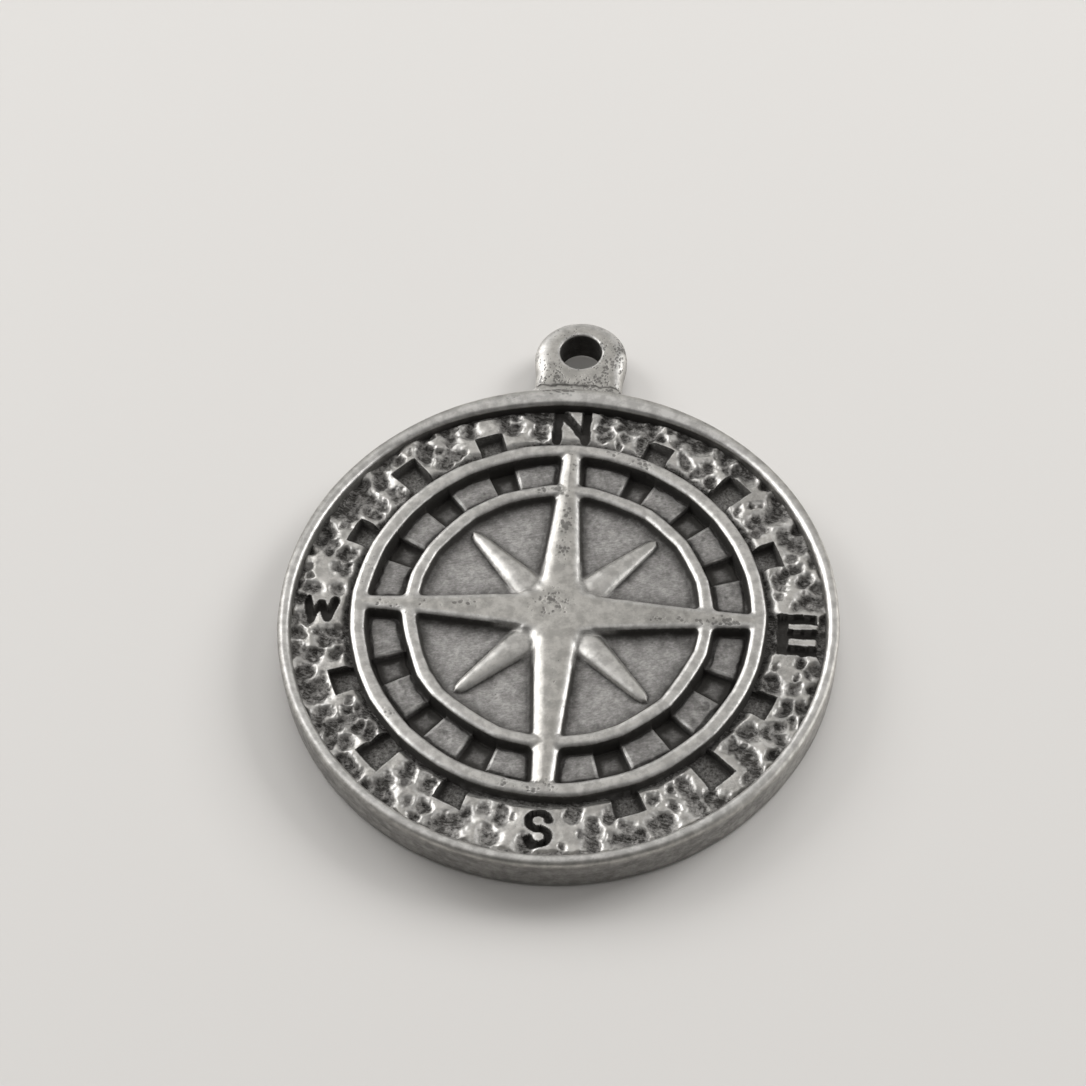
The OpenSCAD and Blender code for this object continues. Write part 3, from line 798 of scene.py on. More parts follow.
# Along the outer ring and along the rim the band falls off to a ragged foot
ring_foot = step(9.82 + 0.22 * beside_e - band_r + 0.1 * lumps, 0.0, 0.5)
rim_reach = 0.12 + 0.16 * north + 0.16 * south + 0.34 * beside_e
rim_foot = step(rim_reach + 0.12 * lumps - rim_in, 0.0, 0.16)
rim_foot = rim_foot * (0.55 + 0.25 * np.maximum(north, beside_e))
depth = np.cbrt(blow_depth(warp_x, warp_y) ** 3 + ring_foot**3 + rim_foot**3)
depth = np.minimum(depth, 1.1)
band_z = RIDGE - 0.02 - BLOW_DEPTH * (1 - 0.25 * south) * depth + 0.035 * lumps
band_z = band_z + (0.005 + 0.02 * step(depth, 0.3, 0.7) * (1 - 0.6 * south)) * grit
sunk = np.maximum(step(pocket_in, 0, 0.06), step(letter_in, 0, 0.06))
floor_z = np.where(pocket_in > letter_in, POCKET, LETTER_FLOOR)
band_z = band_z + (floor_z + 0.012 * grit - band_z) * sunk
print("band:", len(BLOWS), "blows, heights", band_z.min().round(3), "to", band_z.max().round(3), "mm")

# %% Masks of the band
# Oxide in the scoops with lighter specks, mottled land, letters and pockets that stay dark, and a painted
# shadow along the outer ring
speck = step(rough(band_x, band_y, 0.22, 3, 51), -0.4, 0.9)
pitted = step(depth + 0.08 * lumps + 0.08 * grit, 0.14, 0.8)
band_oxide_and_shade = pitted * (0.98 - 0.55 * speck * (1 - 0.6 * ring_foot) - 0.1 * south)
mottle = step(rough(band_x, band_y, 0.5, 4, 53), -0.1, 1.0)
band_oxide_and_shade = np.maximum(band_oxide_and_shade, 0.22 * mottle)
hollow = 0.74 + 0.26 * (1 - step(pocket_in, 0.08, 0.4))
hollow = np.where(pocket_in > letter_in, hollow, 1.0)
band_oxide_and_shade = np.where(np.maximum(pocket_in, letter_in) > -0.012, hollow, band_oxide_and_shade)
# Along the outer ring's foot the band turns black: partly oxide, partly a painted contact shadow
band_oxide_and_shade = np.maximum(band_oxide_and_shade, 0.97 * (1 - step(band_r + 0.04 * lumps, 9.28, 9.5)))
# Film in the scoops, shine on the edges of scoops, letters and pockets
band_dull = np.maximum(0.6 * step(depth, 0.2, 0.5), 0.4 * sunk)
crest = step(depth, 0.02, 0.12) * (1 - step(depth, 0.2, 0.45))
wall_edge = np.maximum(step(-pocket_in, 0, 0.02) * (1 - step(-pocket_in, 0.03, 0.1)),
                       step(-letter_in, 0, 0.02) * (1 - step(-letter_in, 0.05, 0.14)))
band_shine = np.maximum(np.maximum(crest, wall_edge), 0.25) * (1 - pitted)
band_porous = (0.35 + 0.55 * pitted) * (1 - 0.85 * sunk)
print("band: mean oxide", band_oxide_and_shade.mean().round(3))

# %% The band as a closed ring
rows, columns = band_x.shape
band_points = np.stack([band_x, band_y, band_z], -1).reshape(-1, 3)
index = np.arange(rows * columns).reshape(rows, columns)
inner_foot = band_points[index[0]] * [1, 1, 0] + [0, 0, HIDDEN]
outer_foot = band_points[index[-1]] * [1, 1, 0] + [0, 0, HIDDEN]
band_points = np.vstack([band_points, outer_foot, inner_foot])
outer_index = rows * columns + np.arange(columns)
index = np.vstack([index, outer_index, outer_index + columns])
band_cells = quads(index, wrap_rows=True, wrap_columns=True)
if signed_volume(band_points, band_cells) < 0:
    band_cells = band_cells[:, ::-1]
band_masks = {
    "oxide_and_shade": np.concatenate([band_oxide_and_shade.ravel(), np.ones(2 * columns)]),
    "dull": np.concatenate([band_dull.ravel(), np.ones(2 * columns)]),
    "shine": np.concatenate([band_shine.ravel(), np.zeros(2 * columns)]),
    "porous": np.concatenate([band_porous.ravel(), np.zeros(2 * columns)]),
}
band = add_piece("hammered_band", band_points, band_cells, band_masks)

# %% [markdown]
# ## The body
# The body is the coin that carries everything: a flat back, an edge with the faint line where the two
# halves of the mould met, and a rim with worn edges. It could be a lathe modifier, but carrying the
# profile round as an array lets the rim grow wider under the eye and lets the edge carry its nicks.

# %% The body's profile, from the middle of the back to the middle of the hidden floor
DISC_R = 12.5
RIM_R = 11.95
OUTER_ROUND = 0.26
INNER_ROUND = 0.28
MOULD_Z = 1.05
INSIDE_Z = 1.0


def arc(middle_r, middle_z, size, start, end, steps):
    """Points on a quarter round, from one angle to another, in the plane of radius and height."""
    angle = np.radians(np.linspace(start, end, steps))
    return np.stack([middle_r + size * np.cos(angle), middle_z + size * np.sin(angle)], -1)


back = np.stack([np.array([2.2, 4.4, 6.6, 8.8, 10.4, 11.5]), np.zeros(6)], -1)
low_edge = arc(DISC_R - OUTER_ROUND, OUTER_ROUND, OUTER_ROUND, -90, 0, 9)
side_low = np.stack([np.full(5, DISC_R), np.linspace(0.38, 0.92, 5)], -1)
seam = np.array([[0, -0.06], [-0.01, -0.02], [-0.01, 0.02], [0, 0.06]]) + [DISC_R, MOULD_Z]
side_high = np.stack([np.full(5, DISC_R), np.linspace(1.2, 1.78, 5)], -1)
high_edge = arc(DISC_R - OUTER_ROUND, TOP - OUTER_ROUND, OUTER_ROUND, 0, 90, 11)
inner_edge = arc(RIM_R + INNER_ROUND, TOP - INNER_ROUND, INNER_ROUND, 90, 180, 11)
inner_wall = np.array([[-0.01, 1.8], [-0.03, 1.6], [-0.05, 1.3], [-0.06, INSIDE_Z]]) + [RIM_R, 0]
hidden = np.array([[10.5, INSIDE_Z], [7.0, INSIDE_Z], [3.5, INSIDE_Z]])
profile = np.vstack([back, low_edge, side_low, seam, side_high, high_edge, inner_edge, inner_wall, hidden])
print("body: a profile of", len(profile), "points")


# %% The profile carried round the axis
BODY_COLUMNS = 1080
turn = np.arange(BODY_COLUMNS) * 2 * np.pi / BODY_COLUMNS
angle, body_r = np.meshgrid(turn, profile[:, 0])
body_z = np.repeat(profile[:, 1:], BODY_COLUMNS, 1)
# The rim is wider under the eye, and its outer round is sharper in the north
swell = RIM_SWELL * (1 - step(turn_gap(angle, 90), 8, 46))
inner_side = step(-body_r, -12.3, -12.1) * (body_z > 0.5) * step(body_r, 6, 11)
body_r = body_r - swell * inner_side
near_rim = step(body_r, 11.5, 12.2)
sharp = 1 - 0.55 * (1 - step(turn_gap(angle, 90), 60, 95))
outer_edge = (body_r > 12.24) & (body_z > 1.83)
body_r = np.where(outer_edge, DISC_R - (DISC_R - body_r) * sharp, body_r)
body_z = np.where(outer_edge, TOP - (TOP - body_z) * sharp, body_z)
# Nicks and shallow lumps from wear
lumps = np.abs(rough(np.cos(angle) * DISC_R, np.sin(angle) * DISC_R + body_z * 3, 1.6, 3, 61))
body_r = body_r - 0.012 * lumps * near_rim
on_top = (body_z > 1.9) * near_rim
body_z = body_z - 0.012 * np.abs(rough(body_r * np.cos(angle), body_r * np.sin(angle), 1.2, 3, 63)) * on_top
print("body:", len(profile), "by", BODY_COLUMNS, "points")

# %% Masks of the body
body_x = body_r * np.cos(angle)
body_y = body_r * np.sin(angle)
# Oxide on the inner wall and the seam, painted shade low on the side and in the south, and oxide with
# painted shade on the outer round
is_wall = (body_r < RIM_R + 0.06 - swell) & (body_z > 0.9)
body_oxide_and_shade = np.where(is_wall, step(-body_z, -TOP + 0.14, -TOP + 0.27), 0)
north = 1 - step(turn_gap(angle, 90), 20, 60)
west = 1 - step(turn_gap(angle, 180), 30, 75)
# The inner wall is darkest in the north: there it is oxide and painted shade, elsewhere lighter
body_oxide_and_shade = body_oxide_and_shade * (0.66 + 0.34 * north)
seam_dark = 1 - step(np.abs(body_z - MOULD_Z), 0.02, 0.06)
body_oxide_and_shade = np.maximum(body_oxide_and_shade, 0.3 * seam_dark * (body_r > 12.3))
# Low on the side: painted shade, where the side mirrors the shadowed table
low_side = (1 - step(body_z, 0.1, 1.5)) * (body_r > 12.2)
body_oxide_and_shade = np.maximum(body_oxide_and_shade, 0.5 * low_side)
# In the south the side gets more painted shade, where it mirrors the table's shadow
south_side = (1 - step(turn_gap(angle, 272), 35, 85)) * (1 - step(body_z, 1.7, 1.95)) * (body_r > 12.2)
# The outer round: oxide, with more in the west and north as painted shade that dims its highlight
outer_round = step(body_r, 12.24, 12.4) * (0.2 + 0.32 * west + 0.12 * north)
body_oxide_and_shade = np.maximum.reduce([body_oxide_and_shade, 0.4 * south_side, outer_round])
# Film on the side and the back, shine on the rim's top, pores on its northern edge
on_back = (body_z < 0.01) * 1.0
body_dull = np.maximum(np.where(body_r > 12.3, 0.55 * (1 - step(body_z, 1.5, 1.95)), 0), 0.6 * on_back)
body_shine = (1 - step(body_r, 12.28, 12.4)) * (body_z > 1.9)
north_edge = step(body_y, 9.5, 11.5) * step(body_r, 12.0, 12.3)
body_porous = 0.15 + 0.85 * north_edge * step(rough(body_x, body_y + 2 * body_z, 3.0, 2, 65), -0.2, 0.5)
print("body: mean oxide", body_oxide_and_shade.mean().round(3))

# %% The body as a closed piece
rows, columns = body_r.shape
body_points = np.stack([body_x, body_y, body_z], -1).reshape(-1, 3)
index = np.arange(rows * columns).reshape(rows, columns)
body_cells = quads(index, wrap_columns=True)
caps = [index[0].tolist(), index[-1, ::-1].tolist()]
if signed_volume(body_points, body_cells) < 0:
    body_cells = body_cells[:, ::-1]
body_masks = {"oxide_and_shade": body_oxide_and_shade, "dull": body_dull, "shine": body_shine, "porous": body_porous}
body = add_piece("body", body_points, body_cells, body_masks, caps)

# %% [markdown]
# ## The eye
# The eye is a flat tab with a round hole, and a neck that flares into the disc. Seen from above, its
# outline is a circle, a bar and the disc, joined with the rounded maximum. A search along each ray from
# the hole finds that outline, and a rounded section is then carried round the hole.

# %% The outline of the eye and its neck
EYE_Y = 14.95
EYE_LOW = 0.225
EYE_TOP = 1.875
HOLE_R = 1.0
HEAD_R = 2.2
NECK_HALF = 2.08
NECK_ROOT_Y = 11.0
EYE_COLUMNS = 480


def eye_inside(x, y):
    """Distance inwards from the outline of the eye, the neck and the disc, joined with fillets."""
    flatter = np.where(y > EYE_Y, 1.05, 1.0)
    head = HEAD_R - np.hypot(x, (y - EYE_Y) * flatter)
    neck = np.minimum(NECK_HALF - np.abs(x), np.minimum(EYE_Y - y, y - NECK_ROOT_Y))
    disc = DISC_R - np.hypot(x, y)
    return soft_max(soft_max(head, neck, 0.3), disc, 0.35)


turn = np.arange(EYE_COLUMNS) * 2 * np.pi / EYE_COLUMNS
# The outline lies between a distance that is inside and one that is too far, and each step halves the gap
EYE_FOOT_Y = 12.05
outline = np.full(EYE_COLUMNS, HOLE_R)
too_far = np.full(EYE_COLUMNS, 6.0)
for _ in range(30):
    middle = (outline + too_far) / 2
    spot_y = EYE_Y + middle * np.sin(turn)
    inside = (eye_inside(middle * np.cos(turn), spot_y) > 0) & (spot_y > EYE_FOOT_Y)
    outline = np.where(inside, middle, outline)
    too_far = np.where(inside, too_far, middle)
print("eye: outline from", outline.min().round(2), "to", outline.max().round(2), "mm from the hole's middle")

# %% The eye's section, carried round the hole
ROUND = 0.85
DROP = 0.6
LIP = 0.14
flat = np.linspace(0, 1, 28)[1:-1]
quarter = np.radians(np.linspace(0, 90, 19))
half_round = np.stack([np.sin(quarter), np.cos(quarter)], -1)
# Each row: share of the way from the hole to the outline, then an offset and a height in millimetres
lip = [(0, LIP * (1 - np.sin(q)), EYE_TOP - LIP * (1 - np.cos(q))) for q in quarter[::-1]]
top_rows = [(f, LIP * (1 - f) - ROUND * f, EYE_TOP) for f in flat]
edge_rows = [(1, -ROUND * (1 - s), EYE_TOP - DROP * (1 - c)) for s, c in half_round]
upper = np.array(lip + top_rows + edge_rows)
lower = upper[::-1] * [1, 1, -1] + [0, 0, EYE_LOW + EYE_TOP]
wall_rows = np.array([(0, 0.0, z) for z in np.linspace(EYE_LOW + 0.3, EYE_TOP - 0.3, 7)])
section = np.vstack([wall_rows, upper, lower])
share, offset, height = (section[:, k:k + 1] for k in range(3))
eye_r = HOLE_R + share * (outline - HOLE_R) + offset
eye_x = eye_r * np.cos(turn)
eye_y = EYE_Y + eye_r * np.sin(turn)
eye_z = height + 0 * eye_r
mid_height = (EYE_LOW + EYE_TOP) / 2
squash = 1 - 0.012 * np.abs(rough(eye_x, eye_y, 0.9, 3, 71))
eye_z = mid_height + (eye_z - mid_height) * squash
from_disc = np.hypot(eye_x, eye_y) - DISC_R + 0.03 * rough(eye_x, eye_y, 0.5, 2, 77)
# A fillet lifts the foot of the eye towards the top of the rim
foot_z = EYE_TOP + (RING_TOP - EYE_TOP) * np.clip(1 - (from_disc + 0.14) / 0.5, 0, 1) ** 2
FOOT_REACH = 0.36
foot_lift = np.maximum(foot_z - eye_z, 0) * (from_disc < FOOT_REACH) * (height > mid_height)
eye_z = eye_z + foot_lift * (1 - step(np.abs(eye_x), 1.6, 2.1))
eye_points = np.stack([eye_x, eye_y, eye_z], -1).reshape(-1, 3)

# %% Masks of the eye, and the eye as a closed ring
# Oxide in the hole, on the ragged line at the eye's foot and low on the side
from_hole = eye_r - HOLE_R
hole_wall = 1 - step(from_hole, 0.0, 0.07)
ragged = 0.07 * rough(eye_x, eye_y, 0.25, 2, 79)
foot_line = np.exp(-(((from_disc - FOOT_REACH + ragged) / 0.09) ** 2))
eye_oxide = np.maximum(0.93 * hole_wall, foot_line * (height > mid_height))
from_outline = outline - eye_r
low_side = 1 - step(eye_z, EYE_LOW + 0.1, mid_height + 0.3)
eye_oxide = np.maximum(np.maximum(eye_oxide, 0.4 * low_side), 0.11)
eye_dull = 0.6 * low_side
eye_shine = np.exp(-(((from_outline - 0.35) / 0.22) ** 2)) * (eye_z > mid_height)
eye_shine = np.maximum(eye_shine, step(from_hole, 0.03, 0.07) * (1 - step(from_hole, 0.1, 0.2)))
index = np.arange(eye_x.size).reshape(eye_x.shape)
eye_cells = quads(index, wrap_rows=True, wrap_columns=True)
if signed_volume(eye_points, eye_cells) < 0:
    eye_cells = eye_cells[:, ::-1]
worn_right = step(eye_x * 0.8 - (eye_y - EYE_Y), -1.6, 1.4)
eye_porous = 0.68 + 0.32 * worn_right + 0.2 * rough(eye_x, eye_y, 1.0, 2, 75)
eye_masks = {"oxide_and_shade": eye_oxide, "dull": eye_dull, "shine": eye_shine, "porous": eye_porous}
eye = add_piece("eye", eye_points, eye_cells, eye_masks)

# %% [markdown]
# ## Effects that every finish shares
# A node group is a small tool with named inputs and outputs. The finish needs five: noise that breaks up
# the edge of the oxide and painted shade, pits left by the casting, clouds of tarnish, fine scratches from
# rubbing, and the mixing of bright metal, grey film and the black of oxide and painted shade. Each is built
# once and set anew per finish.

# %% Helpers for nodes
def add_node(tree, kind, settings=None, inputs=None):
    """A node of one kind, with its settings and the values of its named inputs."""
    made = tree.nodes.new(kind)
    for label, value in (settings or {}).items():
        setattr(made, label, value)
    for label, value in (inputs or {}).items():
        made.inputs[label].default_value = value
    return made


def new_group(name, inputs, outputs):
    """An empty node group with float or vector inputs and outputs, and its two end nodes."""
    tree = bpy.data.node_groups.new(name, "ShaderNodeTree")
    for label, kind, value in inputs:
        socket = tree.interface.new_socket(label, in_out="INPUT", socket_type=kind)
        if value is not None:
            socket.default_value = value
    for label, kind in outputs:
        tree.interface.new_socket(label, in_out="OUTPUT", socket_type=kind)
    return tree, tree.nodes.new("NodeGroupInput"), tree.nodes.new("NodeGroupOutput")


def math_node(tree, operation, a, b=None, c=None, clamp=False):
    """A math node whose inputs are numbers or the outputs of other nodes, and its result."""
    made = add_node(tree, "ShaderNodeMath", {"operation": operation, "use_clamp": clamp})
    for k, value in enumerate((a, b, c)):
        if isinstance(value, bpy.types.NodeSocket):
            tree.links.new(value, made.inputs[k])
        elif value is not None:
            made.inputs[k].default_value = value
    return made.outputs[0]


def smooth_map(tree, value, low, high, to_low=0.0, to_high=1.0):
    """The value between two limits, mapped smoothly to two others."""
    made = add_node(tree, "ShaderNodeMapRange", {"interpolation_type": "SMOOTHSTEP"})
    for k, item in enumerate((value, low, high, to_low, to_high)):
        if isinstance(item, bpy.types.NodeSocket):
            tree.links.new(item, made.inputs[k])
        else:
            made.inputs[k].default_value = item
    return made.outputs[0]


# %% Group: the ragged edge of the oxide and the painted shade
FLOAT = "NodeSocketFloat"
VECTOR = "NodeSocketVector"
COLOR = "NodeSocketColor"
oxide_and_shade_group, inlet, outlet = new_group(
    "ragged_oxide_and_shade",
    [("Position", VECTOR, None), ("Oxide_and_shade", FLOAT, 0.0), ("Raggedness", FLOAT, 0.5), ("Size", FLOAT, 3000.0)],
    [("Mask", FLOAT)],
)
coarse = add_node(oxide_and_shade_group, "ShaderNodeTexNoise", inputs={"Detail": 6.0, "Roughness": 0.72})
oxide_and_shade_group.links.new(inlet.outputs["Position"], coarse.inputs["Vector"])
oxide_and_shade_group.links.new(inlet.outputs["Size"], coarse.inputs["Scale"])
centred = math_node(oxide_and_shade_group, "SUBTRACT", coarse.outputs[0], 0.5)
spread = math_node(oxide_and_shade_group, "MULTIPLY", centred, inlet.outputs["Raggedness"])
middle_heavy = math_node(oxide_and_shade_group, "MULTIPLY", inlet.outputs["Oxide_and_shade"],
                         math_node(oxide_and_shade_group, "SUBTRACT", 1.0, inlet.outputs["Oxide_and_shade"]))
room = math_node(oxide_and_shade_group, "MULTIPLY_ADD", middle_heavy, 3.4, 0.08)
ragged_part = math_node(oxide_and_shade_group, "MULTIPLY", spread, room)
summed = math_node(oxide_and_shade_group, "ADD", inlet.outputs["Oxide_and_shade"], ragged_part, clamp=True)
oxide_and_shade_group.links.new(summed, outlet.inputs["Mask"])
print("group:", oxide_and_shade_group.name, len(oxide_and_shade_group.nodes), "nodes")

# %% Group: casting pits
pit_group, inlet, outlet = new_group(
    "casting_pits",
    [
        ("Position", VECTOR, None),
        ("Stretch", VECTOR, (1.0, 1.0, 1.0)),
        ("Porous", FLOAT, 0.2),
        ("Size", FLOAT, 6000.0),
        ("Crowd", FLOAT, 0.3),
        ("Softness", FLOAT, 0.26),
    ],
    [("Mask", FLOAT)],
)
bubbles = add_node(pit_group, "ShaderNodeTexVoronoi", inputs={"Randomness": 1.0})
clusters = add_node(pit_group, "ShaderNodeTexNoise", inputs={"Detail": 2.0, "Scale": 1400.0})
frayed = add_node(pit_group, "ShaderNodeTexNoise", inputs={"Detail": 3.0, "Scale": 14000.0})
stretched = add_node(pit_group, "ShaderNodeVectorMath", {"operation": "MULTIPLY"})
pit_group.links.new(inlet.outputs["Position"], stretched.inputs[0])
pit_group.links.new(inlet.outputs["Stretch"], stretched.inputs[1])
for texture in (bubbles, clusters, frayed):
    pit_group.links.new(stretched.outputs[0], texture.inputs["Vector"])
pit_group.links.new(inlet.outputs["Size"], bubbles.inputs["Scale"])
crowded = math_node(pit_group, "MULTIPLY", inlet.outputs["Porous"], inlet.outputs["Crowd"])
grouped = math_node(pit_group, "MULTIPLY", crowded,
                    smooth_map(pit_group, clusters.outputs[0], 0.32, 0.68, 0.5, 1.4))
reached = math_node(pit_group, "SUBTRACT", grouped, bubbles.outputs["Distance"])
torn = math_node(pit_group, "MULTIPLY_ADD", frayed.outputs[0], 0.56, -0.28)
reached = math_node(pit_group, "ADD", reached, torn)
pit_mask = smooth_map(pit_group, reached, 0.0, inlet.outputs["Softness"])
pit_group.links.new(pit_mask, outlet.inputs["Mask"])
print("group:", pit_group.name, len(pit_group.nodes), "nodes")

# %% Group: clouds of tarnish
cloud_group, inlet, outlet = new_group(
    "tarnish_clouds",
    [("Position", VECTOR, None), ("Size", FLOAT, 900.0)],
    [("Value", FLOAT)],
)
haze = add_node(cloud_group, "ShaderNodeTexNoise", inputs={"Detail": 6.0, "Roughness": 0.62})
cloud_group.links.new(inlet.outputs["Position"], haze.inputs["Vector"])
cloud_group.links.new(inlet.outputs["Size"], haze.inputs["Scale"])
cloud_group.links.new(smooth_map(cloud_group, haze.outputs[0], 0.37, 0.63), outlet.inputs["Value"])
print("group:", cloud_group.name, len(cloud_group.nodes), "nodes")

# %% Group: scratches from rubbing
scratch_group, inlet, outlet = new_group(
    "rubbed_scratches",
    [("Position", VECTOR, None), ("Turn", FLOAT, 0.6), ("Size", FLOAT, 9000.0), ("Length", FLOAT, 14.0)],
    [("Value", FLOAT)],
)
turned = add_node(scratch_group, "ShaderNodeVectorRotate", {"rotation_type": "Z_AXIS"})
scratch_group.links.new(inlet.outputs["Position"], turned.inputs["Vector"])
scratch_group.links.new(inlet.outputs["Turn"], turned.inputs["Angle"])
split = add_node(scratch_group, "ShaderNodeSeparateXYZ")
scratch_group.links.new(turned.outputs[0], split.inputs[0])
along = math_node(scratch_group, "DIVIDE", split.outputs[0], inlet.outputs["Length"])
joined = add_node(scratch_group, "ShaderNodeCombineXYZ")
scratch_group.links.new(along, joined.inputs[0])
scratch_group.links.new(split.outputs[1], joined.inputs[1])
scratch_group.links.new(split.outputs[2], joined.inputs[2])
grain = add_node(scratch_group, "ShaderNodeTexNoise", inputs={"Detail": 4.0, "Roughness": 0.7})
scratch_group.links.new(joined.outputs[0], grain.inputs["Vector"])
scratch_group.links.new(inlet.outputs["Size"], grain.inputs["Scale"])
scratch_group.links.new(smooth_map(scratch_group, grain.outputs[0], 0.3, 0.7), outlet.inputs["Value"])
print("group:", scratch_group.name, len(scratch_group.nodes), "nodes")

# %% Group: bright metal, grey film, and black for oxide and painted shade
BURNISHED = (0.86, 0.85, 0.83, 1)
GRAIN_DARK = (0.08, 0.078, 0.075, 1)
CLOUD_DARK = (0.12, 0.115, 0.108, 1)
silver_group, inlet, outlet = new_group(
    "antique_silver",
    [
        ("Dark", FLOAT, 0.0),
        ("Dull", FLOAT, 0.0),
        ("Shine", FLOAT, 0.0),
        ("Grain", FLOAT, 0.5),
        ("Cloud", FLOAT, 0.5),
        ("Metal", COLOR, (0.655, 0.637, 0.6, 1)),
        ("Film", COLOR, (0.62, 0.605, 0.59, 1)),
        ("Oxide_and_shade", COLOR, (0.052, 0.049, 0.045, 1)),
    ],
    [("Color", COLOR), ("Roughness", FLOAT), ("Metallic", FLOAT)],
)


def mix_colors(tree, share, first, second):
    """A colour between two, by a share from 0 to 1."""
    made = add_node(tree, "ShaderNodeMix", {"data_type": "RGBA"})
    tree.links.new(share, made.inputs["Factor"])
    for socket, value in ((made.inputs[6], first), (made.inputs[7], second)):
        if isinstance(value, bpy.types.NodeSocket):
            tree.links.new(value, socket)
        else:
            socket.default_value = value
    return made.outputs[2]


rubbed = mix_colors(silver_group, inlet.outputs["Dull"], inlet.outputs["Metal"], inlet.outputs["Film"])
bright = math_node(silver_group, "MULTIPLY", inlet.outputs["Shine"], 0.7)
rubbed = mix_colors(silver_group, bright, rubbed, BURNISHED)
grain_room = math_node(silver_group, "MULTIPLY_ADD", inlet.outputs["Dull"], 0.3, 0.07)
grain_share = math_node(silver_group, "MULTIPLY", inlet.outputs["Grain"], grain_room)
tinted = mix_colors(silver_group, grain_share, rubbed, GRAIN_DARK)
cloud_share = math_node(silver_group, "MULTIPLY", inlet.outputs["Cloud"], 0.34)
tinted = mix_colors(silver_group, cloud_share, tinted, CLOUD_DARK)
final = mix_colors(silver_group, inlet.outputs["Dark"], tinted, inlet.outputs["Oxide_and_shade"])
silver_group.links.new(final, outlet.inputs["Color"])
rough_dull = math_node(silver_group, "MULTIPLY_ADD", inlet.outputs["Dull"], 0.14, 0.38)
rough_shine = math_node(silver_group, "MULTIPLY_ADD", inlet.outputs["Shine"], -0.05, rough_dull)
rough_grain = math_node(silver_group, "MULTIPLY_ADD", inlet.outputs["Grain"], 0.1, rough_shine)
rough_dark = math_node(silver_group, "MULTIPLY_ADD", inlet.outputs["Dark"], 0.2, rough_grain)
silver_group.links.new(rough_dark, outlet.inputs["Roughness"])
metallic = math_node(silver_group, "MULTIPLY_ADD", inlet.outputs["Dark"], -0.35, 1.0)
silver_group.links.new(metallic, outlet.inputs["Metallic"])
print("group:", silver_group.name, len(silver_group.nodes), "nodes")


# %% [markdown]
# ## The finishes
# All five pieces are the same dipped and rubbed metal, but rubbing reached them differently. The rose is
# brushed on its floor, the band is gritty, and the rim and the eye are smooth with pits. One function
# wires the shared groups into a material, and each finish sets its own amounts. In the band's scoops the
# scratches also streak the oxide, because a brush passed over them.

# %% One finish per piece
PIT_DARKNESS = 0.72
CLOUD_SIZE = 2000.0


def placed(tree, group, **values):
    """A copy of a shared group in a material, with its own values."""
    made = add_node(tree, "ShaderNodeGroup", {"node_tree": group})
    for label, value in values.items():
        made.inputs[label].default_value = value
    return made


def silver_finish(name, ragged, pits, scratch, pit_depth, scratch_depth, streak=0.0):
    """A material for one piece: masks from its attributes, broken up by noise, pits and scratches."""
    material = bpy.data.materials.new(name)
    material.use_nodes = True
    tree = material.node_tree
    tree.nodes.clear()
    position = add_node(tree, "ShaderNodeTexCoord").outputs["Object"]
    masks = {}
    for label in ("oxide_and_shade", "dull", "shine", "porous"):
        masks[label] = add_node(tree, "ShaderNodeAttribute", {"attribute_name": label}).outputs["Fac"]
    oxide_and_shade_node = placed(tree, oxide_and_shade_group, **ragged)
    pit_node = placed(tree, pit_group, **pits)
    scratch_node = placed(tree, scratch_group, **scratch)
    cloud_node = placed(tree, cloud_group, Size=CLOUD_SIZE)
    for used in (oxide_and_shade_node, pit_node, scratch_node, cloud_node):
        tree.links.new(position, used.inputs["Position"])
    tree.links.new(masks["oxide_and_shade"], oxide_and_shade_node.inputs["Oxide_and_shade"])
    tree.links.new(masks["porous"], pit_node.inputs["Porous"])
    pit_dark = math_node(tree, "MULTIPLY", pit_node.outputs["Mask"], PIT_DARKNESS)
    streaks = math_node(tree, "MULTIPLY_ADD", scratch_node.outputs["Value"], -2 * streak, streak)
    streaks = math_node(tree, "MULTIPLY", streaks, masks["porous"])
    oxide_and_shade = oxide_and_shade_node.outputs["Mask"]
    streaked = math_node(tree, "MULTIPLY_ADD", streaks, oxide_and_shade, oxide_and_shade, clamp=True)
    dark = math_node(tree, "MAXIMUM", streaked, pit_dark)
    silver = placed(tree, silver_group)
    tree.links.new(dark, silver.inputs["Dark"])
    tree.links.new(masks["dull"], silver.inputs["Dull"])
    tree.links.new(masks["shine"], silver.inputs["Shine"])
    tree.links.new(scratch_node.outputs["Value"], silver.inputs["Grain"])
    tree.links.new(cloud_node.outputs["Value"], silver.inputs["Cloud"])
    sunk = math_node(tree, "MULTIPLY", pit_node.outputs["Mask"], -pit_depth)
    room = math_node(tree, "MULTIPLY_ADD", masks["dull"], 0.8 * scratch_depth, 0.2 * scratch_depth)
    relief = math_node(tree, "MULTIPLY_ADD", scratch_node.outputs["Value"], room, sunk)
    bump = add_node(tree, "ShaderNodeBump", inputs={"Strength": 1.0, "Distance": MM})
    tree.links.new(relief, bump.inputs["Height"])
    shader = add_node(tree, "ShaderNodeBsdfPrincipled")
    tree.links.new(silver.outputs["Color"], shader.inputs["Base Color"])
    tree.links.new(silver.outputs["Roughness"], shader.inputs["Roughness"])
    tree.links.new(silver.outputs["Metallic"], shader.inputs["Metallic"])
    tree.links.new(bump.outputs["Normal"], shader.inputs["Normal"])
    output = add_node(tree, "ShaderNodeOutputMaterial")
    tree.links.new(shader.outputs["BSDF"], output.inputs["Surface"])
    return material


